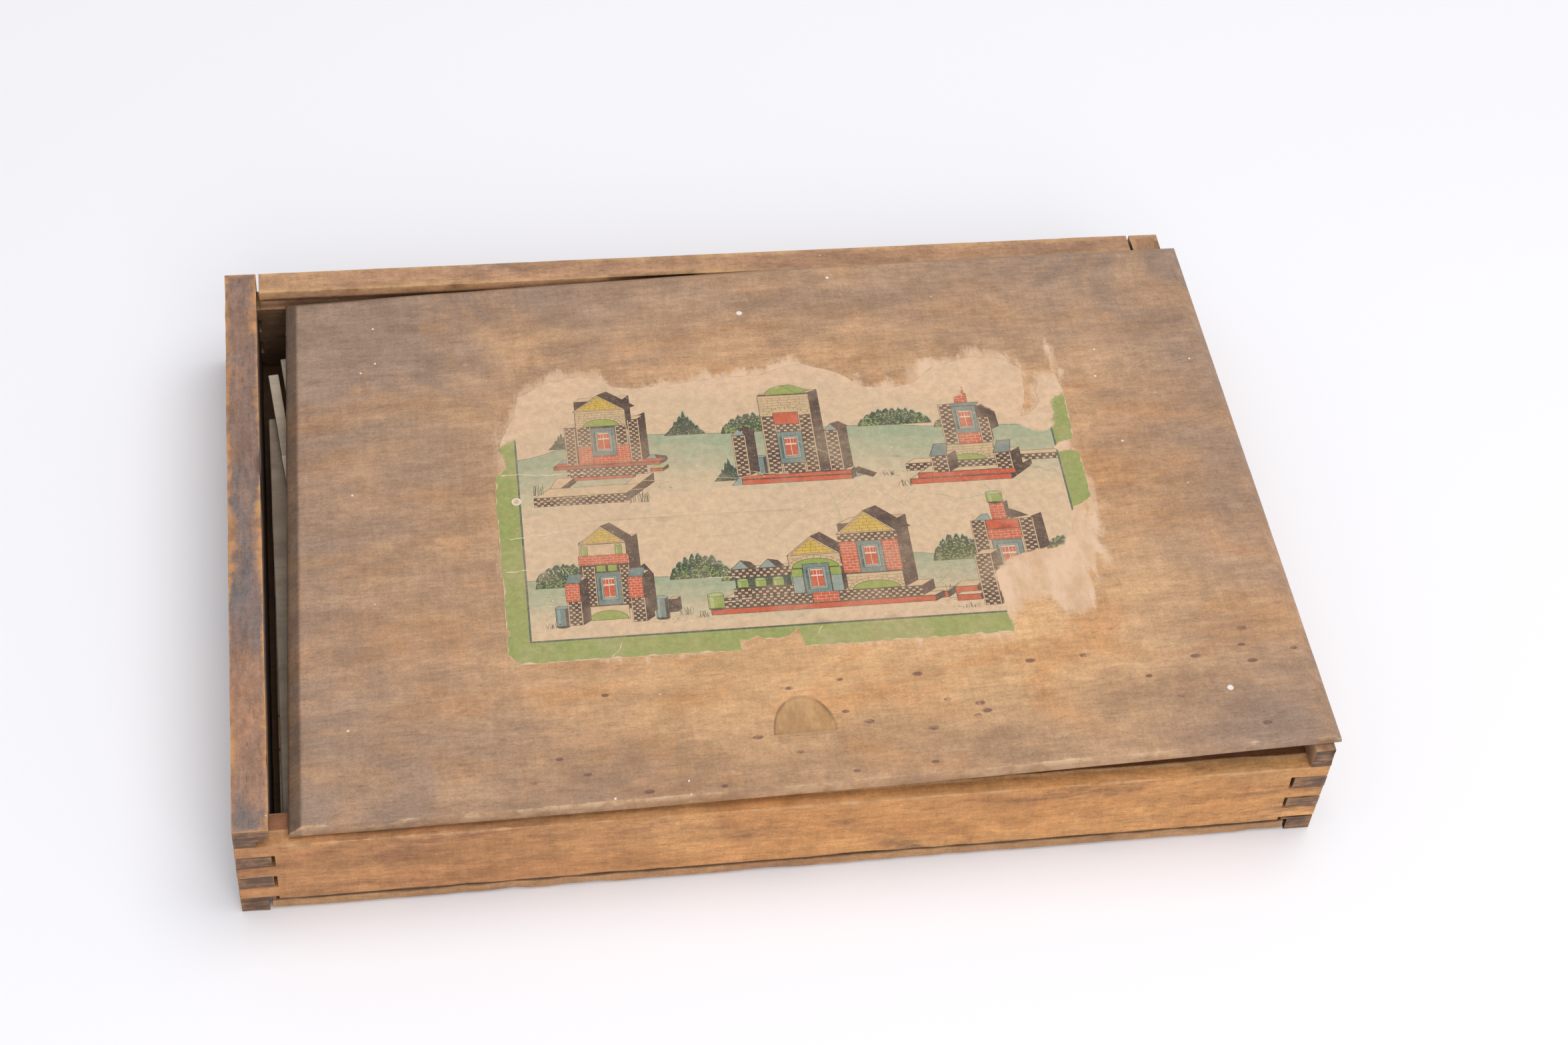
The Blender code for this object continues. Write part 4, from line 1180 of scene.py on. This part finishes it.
def label_picture():
    """The printed sheet: two rows of block houses on rolling ground inside a green border."""
    pic = Picture(seed=11)
    pic.rect("paper", -3, -3, 198, 132)
    rolling_ground(pic)
    pic.add(tower_house, 18.9, 78.5, 0.93, 0.845)
    pic.add(gate_house, 76.9, 67.9, 1.0, 0.94)
    pic.add(stepped_house, 130.0, 63.6, 1.05, 0.95)
    pic.add(window_house, 18.9, 15.6, 0.83, 0.89)
    pic.add(long_house, 61.7, 16.2, 1.01, 1.01)
    pic.add(chimney_house, 144.8, 13.2, 1.0, 0.915)
    for x, w in ((-3, 10.1), (179.0, 15)):
        pic.rect("border", x, -3, w, 97 if x < 0 else 117)
    pic.rect("border", -3, -3, 195, 13.3)
    for line in ([(7.1, 94), (7.1, 10.1)], [(7.1, 10.3), (179.0, 10.3)], [(179.0, 10.3), (179.0, 114)]):
        pic.stroke("line", line, 0.62)
    hole = Vector((6.1, 66.4))
    for ink, size in (("torn", 1.0), ("back", 0.62)):
        turns = [math.tau * i / 16 for i in range(16)]
        pic.fill(ink, [(hole.x + 1.5 * size * math.cos(turn), hole.y + 1.6 * size * math.sin(turn))
                       for turn in turns])
    return pic


def crack(pic, ink, start, end, width, wander):
    """A jagged thin line, in pieces of about 1.1 mm."""
    run = Vector(end) - Vector(start)
    count = max(2, int(run.length / 1.1))
    side = Vector((-run.y, run.x)).normalized()
    line = []
    drift = 0.0
    for i in range(count + 1):
        drift = drift * 0.75 + pic.random.uniform(-wander, wander)
        fade = max(0.0, math.sin(math.pi * i / count)) ** 0.5
        line.append(tuple(Vector(start) + run * (i / count) + side * drift * fade))
    for a, b in zip(line, line[1:]):
        pic.stroke(ink, [a, b], width * pic.random.uniform(0.5, 1.3))


# Ink, width, wander, and the ends of each crack in the print.
CRACKS = (
    ("torn", 0.26, 0.35, (((2, 77.6), (28, 76.6)), ((3, 51.0), (22, 53.6)), ((1.5, 38.0), (14, 38.6)))),
    ("hill_2", 0.26, 0.35, (((103, 64.6), (93, 55)), ((104, 64.6), (106, 49)), ((114, 65), (103, 54)),
                            ((118, 64), (127, 55)), ((131, 62), (127, 57)), ((131, 61.6), (144, 56.6)),
                            ((144, 56.6), (159, 58)), ((153, 62), (158, 55)), ((96, 85), (108, 77)),
                            ((92, 52), (84, 45)))),
    ("stone", 0.24, 0.45, (((40, 53.6), (66, 53.0)), ((60, 47.4), (74, 48)), ((10, 65.4), (60, 69.6)),
                           ((84, 71), (76, 76)), ((46, 72), (92, 71.4)))),
    ("torn", 0.2, 0.3, (((62, 31), (72, 30)), ((66, 21), (74, 22)), ((93, 6.6), (94.4, 9.4)),
                        ((30, 1), (34, 8)))),
)


def age_label(pic):
    """Cracks and small rubbed spots in the print."""
    for ink, width, wander, places in CRACKS:
        for start, end in places:
            crack(pic, ink, start, end, width, wander)
    for _ in range(70):
        x, y = pic.random.uniform(4, 178), pic.random.uniform(2, 108)
        size = pic.random.uniform(0.12, 0.34)
        spot = [(x + size * pic.random.uniform(0.5, 1) * math.cos(math.tau * i / 6),
                 y + size * pic.random.uniform(0.5, 1) * math.sin(math.tau * i / 6)) for i in range(6)]
        pic.fill(pic.random.choice(["torn", "torn", "stone", "hill_5"]), spot)


def signed_gaps(points, outline):
    """Distance of each 2-D point to an outline: positive inside, negative outside."""
    corners = np.array(outline, float)
    following = np.roll(corners, -1, axis=0)
    flat = np.column_stack([corners, np.zeros(len(corners))])
    ends = np.column_stack([following, np.zeros(len(corners))])
    gaps = edge_gaps(np.column_stack([points, np.zeros(len(points))]), np.stack([flat, ends], axis=1))
    inside = np.zeros(len(points), bool)
    for (ax, ay), (bx, by) in zip(corners, following):
        if ay == by:
            continue
        crosses = (ay > points[:, 1]) != (by > points[:, 1])
        inside ^= crosses & (points[:, 0] < (bx - ax) * (points[:, 1] - ay) / (by - ay) + ax)
    return np.where(inside, gaps, -gaps)


def roughened(outline, step, amount, seed):
    """An outline cut into short steps, each shifted a little. Long straight sides wander least."""
    rough = []
    for (ax, ay), (bx, by) in zip(outline, outline[1:] + outline[:1]):
        run = Vector((bx - ax, by - ay))
        count = max(1, round(run.length / step))
        side = Vector((-run.y, run.x)).normalized()
        for i in range(count):
            point = Vector((ax, ay)) + run * (i / count)
            lumps = noise.noise(Vector((point.x, point.y, seed)) * 0.7)
            lumps += 0.6 * noise.noise(Vector((point.x, point.y, seed + 5)) * 2.3)
            straight = run.length > 11
            rough.append(tuple(point + side * lumps * amount * (0.3 if straight else 1.0)))
    return rough


def drawn_inwards(outline, least, most, seed):
    """An outline moved inwards by an uneven amount."""
    moved = []
    count = len(outline)
    for i, (x, y) in enumerate(outline):
        before, after = Vector(outline[i - 1]), Vector(outline[(i + 1) % count])
        along = (after - before).normalized()
        share = 0.5 + 0.5 * noise.noise(Vector((x, y, seed)) * 0.35)
        depth = least + (most - least) * min(1.0, max(0.0, share * 2 - 0.55)) ** 2
        moved.append((x - along.y * depth, y + along.x * depth))
    return moved


def printed_sheet(bm, shapes, levels, extra=(), origin=(0, 0), slot=0):
    """Adds a thin closed sheet made of its outline, its inked part, then the drawing itself."""
    points, faces = [], []
    for _, outline in shapes:
        faces.append(list(range(len(points), len(points) + len(outline))))
        points += [Vector(point) for point in outline]
    points += [Vector(point) for point in extra]
    places, _, cells, _, _, owners = geometry.delaunay_2d_cdt(points, [], faces, 1, 1e-4)
    kept = [(tuple(cell), max(own) if 1 in own else 0) for cell, own in zip(cells, owners) if 0 in own]
    ink = bm.loops.layers.float_color.get("ink") or bm.loops.layers.float_color.new("ink")
    upper, lower = {}, {}
    for i in sorted({i for cell, _ in kept for i in cell}):
        place = places[i] * MM
        top, under = levels(place)
        upper[i] = bm.verts.new((origin[0] + place.x, origin[1] + place.y, top))
        lower[i] = bm.verts.new((origin[0] + place.x, origin[1] + place.y, under))

    def add(corners, colour, smooth):
        face = bm.faces.new(corners)
        face.material_index = slot
        face.smooth = smooth
        for loop in face.loops:
            loop[ink] = (*INKS[colour], 1.0)

    rims = set()
    for cell, own in kept:
        add([upper[i] for i in cell], shapes[own][0], True)
        add([lower[i] for i in reversed(cell)], "torn", True)
        rims.update(zip(cell, cell[1:] + cell[:1]))
    for a, b in rims:
        if (b, a) not in rims:
            add((upper[b], upper[a], lower[a], lower[b]), "bare", False)


def jittered(low, high, step, maker):
    """Scattered points about one step apart."""
    points = []
    y = low[1]
    while y < high[1]:
        x = low[0]
        while x < high[0]:
            points.append((x + maker.uniform(-0.35, 0.35) * step, y + maker.uniform(-0.35, 0.35) * step))
            x += step
        y += step
    return points


def printed_paper(name, fading=True, grime=1.0):
    """Old matt printed paper: its ink colour is stored on the mesh and worn here."""
    n = Nodes(name)
    ink = n.attribute("ink")["Color"]
    fibre = n.noise(2600, detail=2, rough=0.7)
    speckle = n.noise(900, detail=3, rough=0.75, shift=(5, 2, 1))
    cloud = n.noise(75, detail=4, rough=0.6, shift=(1, 8, 3))
    rubbed = n.plus(n.steps(speckle, 0.54, 0.76, 0, 0.34), n.steps(cloud, 0.44, 0.74, 0.0, 0.18))
    colour = n.mix(rubbed, ink, INKS["bare"])
    if fading:
        fade = n.attribute("fade")["Fac"]
        ragged = n.plus(fade, n.times(n.minus(cloud, 0.5), 9.0))
        ragged = n.plus(ragged, n.times(n.minus(speckle, 0.5), 3.0))
        colour = n.mix(n.steps(ragged, 0.9, -0.5), colour, INKS["bare"])
    pulp = n.noise((190, 340, 190), detail=4, rough=0.65)
    colour = n.over(colour, pulp, 0.42, 0.75, 0.16 * grime, (0.44, 0.25, 0.13))
    wide = n.noise(22, detail=3, rough=0.5, shift=(9, 4, 2))
    colour = n.over(colour, wide, 0.45, 0.72, 0.22 * grime, (0.60, 0.40, 0.255))
    colour = n.over(colour, fibre, 0.52, 0.78, 0.22, (0.80, 0.64, 0.50))
    grey = n.noise(45, detail=5, rough=0.7, shift=(3, 3, 8))
    colour = n.over(colour, grey, 0.46, 0.72, 0.30 * grime, (0.53, 0.405, 0.275))
    mottle = n.noise(420, detail=4, rough=0.75, shift=(1, 6, 2))
    colour = n.brighten(colour, n.steps(mottle, 0.30, 0.70, 0.89, 1.08))
    n.surface(colour, 0.78, n.plus(n.times(fibre, 0.5), n.times(pulp, 1.0)), 0.00012, 0.6)
    n.shader.inputs["Specular IOR Level"].default_value = 0.25
    return n.material


def make_label(lid):
    pic = label_picture()
    age_label(pic)
    outline = roughened(SHEET_OUTLINE, 0.7, 0.34, 3)
    turn = Matrix.Rotation(LABEL_TURN, 2)
    shapes = [("bare", outline), ("paper", drawn_inwards(outline, 0.05, 0.75, 8))]
    shapes += [(ink, [tuple(turn @ Vector(point)) for point in points]) for ink, points in pic.shapes[1:]]
    extra = jittered((1, 1), (188, 118), 2.6, random.Random(4))

    def levels(place):
        """Upper and lower level of the sheet at a place given from the label's corner."""
        x, y = lid.label.x + place.x, lid.label.y + place.y
        top = lid.top(x, y)
        wrinkle = 0.05 * MM * noise.noise(Vector((x, y, 0)) / (7 * MM))
        rubbed_thin = max(0.55, min(1.0, (105 - place.y / MM) / 10))
        return top + SHEET_THICKNESS * rubbed_thin + wrinkle * (2 * rubbed_thin - 1), top - 0.05 * MM

    bm = bmesh.new()
    printed_sheet(bm, shapes, levels, extra)
    gaps = signed_gaps(np.array([vert.co[:2] for vert in bm.verts]) / MM, PRINT_OUTLINE)
    layer = bm.verts.layers.float.new("fade")
    for vert, gap in zip(bm.verts, gaps):
        vert[layer] = max(-10.0, min(10.0, gap))
    matrix = lid.matrix @ Matrix.Translation(lid.label.to_3d())
    piece = new_piece("label_sheet", bm, printed_paper("label_paper"), matrix)
    stand_in(piece, "lid", "lid_label")


# ---------------------------------------------------------------- blocks, boards and laths

DRAWING_SCALE = 3.3  # the blocks carry the label's drawings this much larger
PAPER_INSET = 0.55  # mm from the block's edges
ARCH_OPENING = 11.4  # mm, the radius of the cut under the arch


def block_drawing(kind, w, h):
    """A block's printed face, in the label's smaller drawing size."""
    pic = Picture(seed=len(kind))
    if kind == "window_block":
        pic.window(0, 0, w, h)
    elif kind == "brick_block":
        pic.bricks(0, 0, w, h, size=(2.6, 1.2))
    elif kind == "arch_block":
        opening = ARCH_OPENING / DRAWING_SCALE
        pic.arch(0, 0, w, h, rise=opening / h, reach=2 * opening / w, infill=None)
    elif kind == "pillar_block":
        pic.checker(0, 0, w, h, cell=1.15)
    elif kind == "wall_panel":
        pic.panel("cream", 0, 0, w, h)
        pic.bricks(0, 0, w, h * 0.28, size=(2.4, 1.15))
        pic.window(w * 0.12, h * 0.32, w * 0.76, h * 0.62)
    else:
        pic.gable(0, 0, w, h)
    return pic.shapes


def paper_outline(kind, w, h):
    """The printed paper's outline on a block of this width and depth."""
    low, right, back = PAPER_INSET, w - PAPER_INSET, h - PAPER_INSET
    if kind == "gable_block":
        return inset([(0, 0), (w, 0), (w / 2, h)], PAPER_INSET)
    if kind != "arch_block":
        return [(low, low), (right, low), (right, back), (low, back)]
    reach = ARCH_OPENING + 0.3
    arc = [(w / 2 - reach * math.cos(math.pi * i / 24), max(low, reach * math.sin(math.pi * i / 24)))
           for i in range(25)]
    return [(low, low)] + arc + [(right, low), (right, back), (low, back)]


def bare_wood(name, light, dark):
    """Unpainted limewood, handled and a little dirty."""
    n = Nodes(name)
    grain = n.noise((40, 420, 420), detail=5, rough=0.65)
    bands = n.noise((16, 60, 60), detail=3, rough=0.5, shift=(2, 2, 5))
    colour = n.mix(n.steps(bands, 0.35, 0.65), light, dark)
    colour = n.over(colour, grain, 0.45, 0.7, 0.4, tuple(c * 0.6 for c in dark))
    dirt = n.noise(90, detail=4, rough=0.7, shift=(7, 1, 1))
    colour = n.over(colour, dirt, 0.48, 0.74, 0.5, (0.20, 0.14, 0.09))
    n.surface(colour, 0.66, grain, 0.00015, 0.7)
    return n.material


def painted_wood(name, paint, under):
    """Thin matt paint, rubbed off the arrises and in spots."""
    n = Nodes(name)
    grain = n.noise((60, 400, 400), detail=4, rough=0.65)
    cloud = n.noise(120, detail=5, rough=0.65)
    scuffs = n.noise((90, 500, 300), detail=4, rough=0.7, shift=(3, 9, 1))
    colour = n.mix(n.steps(cloud, 0.40, 0.70, 0, 0.35), paint, tuple(c * 0.62 for c in paint))
    rubbed = n.plus(n.attribute("arris")["Fac"], n.steps(scuffs, 0.60, 0.72), clamp=True)
    rubbed = n.times(rubbed, n.steps(cloud, 0.32, 0.55, 0.25, 0.95))
    colour = n.mix(rubbed, colour, under)
    colour = n.over(colour, grain, 0.5, 0.72, 0.3, (0.10, 0.06, 0.04))
    n.surface(colour, 0.55, n.plus(grain, rubbed), 0.00012, 0.7)
    return n.material


def make_blocks():
    limewood = bare_wood("block_wood", (0.56, 0.42, 0.27), (0.44, 0.31, 0.19))
    print_paper = printed_paper("block_paper", fading=False, grime=1.3)
    painted = {
        "arch_filler": painted_wood("green_paint", (0.22, 0.30, 0.08), (0.50, 0.40, 0.24)),
        "base_plank": painted_wood("red_paint", (0.46, 0.085, 0.045), (0.52, 0.34, 0.20)),
        "round_block": painted_wood("blue_paint", (0.14, 0.23, 0.22), (0.48, 0.38, 0.25)),
    }
    slots = {"window_block": "window_print", "brick_block": "brick_print", "arch_block": "stone_print",
             "arch_filler": "green_paint", "base_plank": "red_paint", "pillar_block": "checker_print",
             "wall_panel": "plaster_print", "gable_block": "gable_print", "round_block": "round_paint"}
    for seed, node in enumerate(sorted(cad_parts)):
        kind = node.rsplit("_", 1)[0]
        if kind not in slots:
            continue
        low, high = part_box(node)
        bm = worn_board(node, "X", bevel=0.5 * MM, step=9 * MM, seed=seed, chips=0.25 * MM,
                        wobble=0.05 * MM)
        if kind not in painted:
            top = high.z
            w, h = (high.x - low.x) / MM, (high.y - low.y) / MM
            outline = paper_outline(kind, w, h)
            drawing = block_drawing(kind, w / DRAWING_SCALE, h / DRAWING_SCALE)
            shapes = [("torn", outline), ("paper", outline)]
            shapes += [(ink, [(x * DRAWING_SCALE, y * DRAWING_SCALE) for x, y in points])
                       for ink, points in drawing]
            printed_sheet(bm, shapes, lambda place: (top + 0.06 * MM, top - 0.1 * MM),
                          origin=low[:2], slot=1)
        piece = new_piece(node + "_block", bm, painted.get(kind) or [limewood, print_paper])
        stand_in(piece, node, node)


def make_boards():
    """The long board and the laths that lie loose along the left wall."""
    board = bare_wood("long_board_wood", (0.42, 0.335, 0.25), (0.33, 0.255, 0.185))
    bm = worn_board("long_board", "Y", bevel=0.5 * MM, step=6 * MM, seed=70, chips=0.3 * MM,
                    wobble=0.08 * MM)
    stand_in(new_piece("long_board_worn", bm, board), "long_board", "long_board")
    pale = bare_wood("lath_wood", (0.60, 0.50, 0.38), (0.50, 0.40, 0.29))
    for seed, node in enumerate(("lath_1", "lath_2", "lath_3")):
        bm = worn_board(node, "Y", bevel=0.3 * MM, step=5 * MM, seed=80 + seed, chips=0.15 * MM,
                        wobble=0.06 * MM)
        stand_in(new_piece(node + "_worn", bm, pale), node, node)


make_camera()
make_stage()
make_box()
the_lid = make_lid()
make_label(the_lid)
make_blocks()
make_boards()
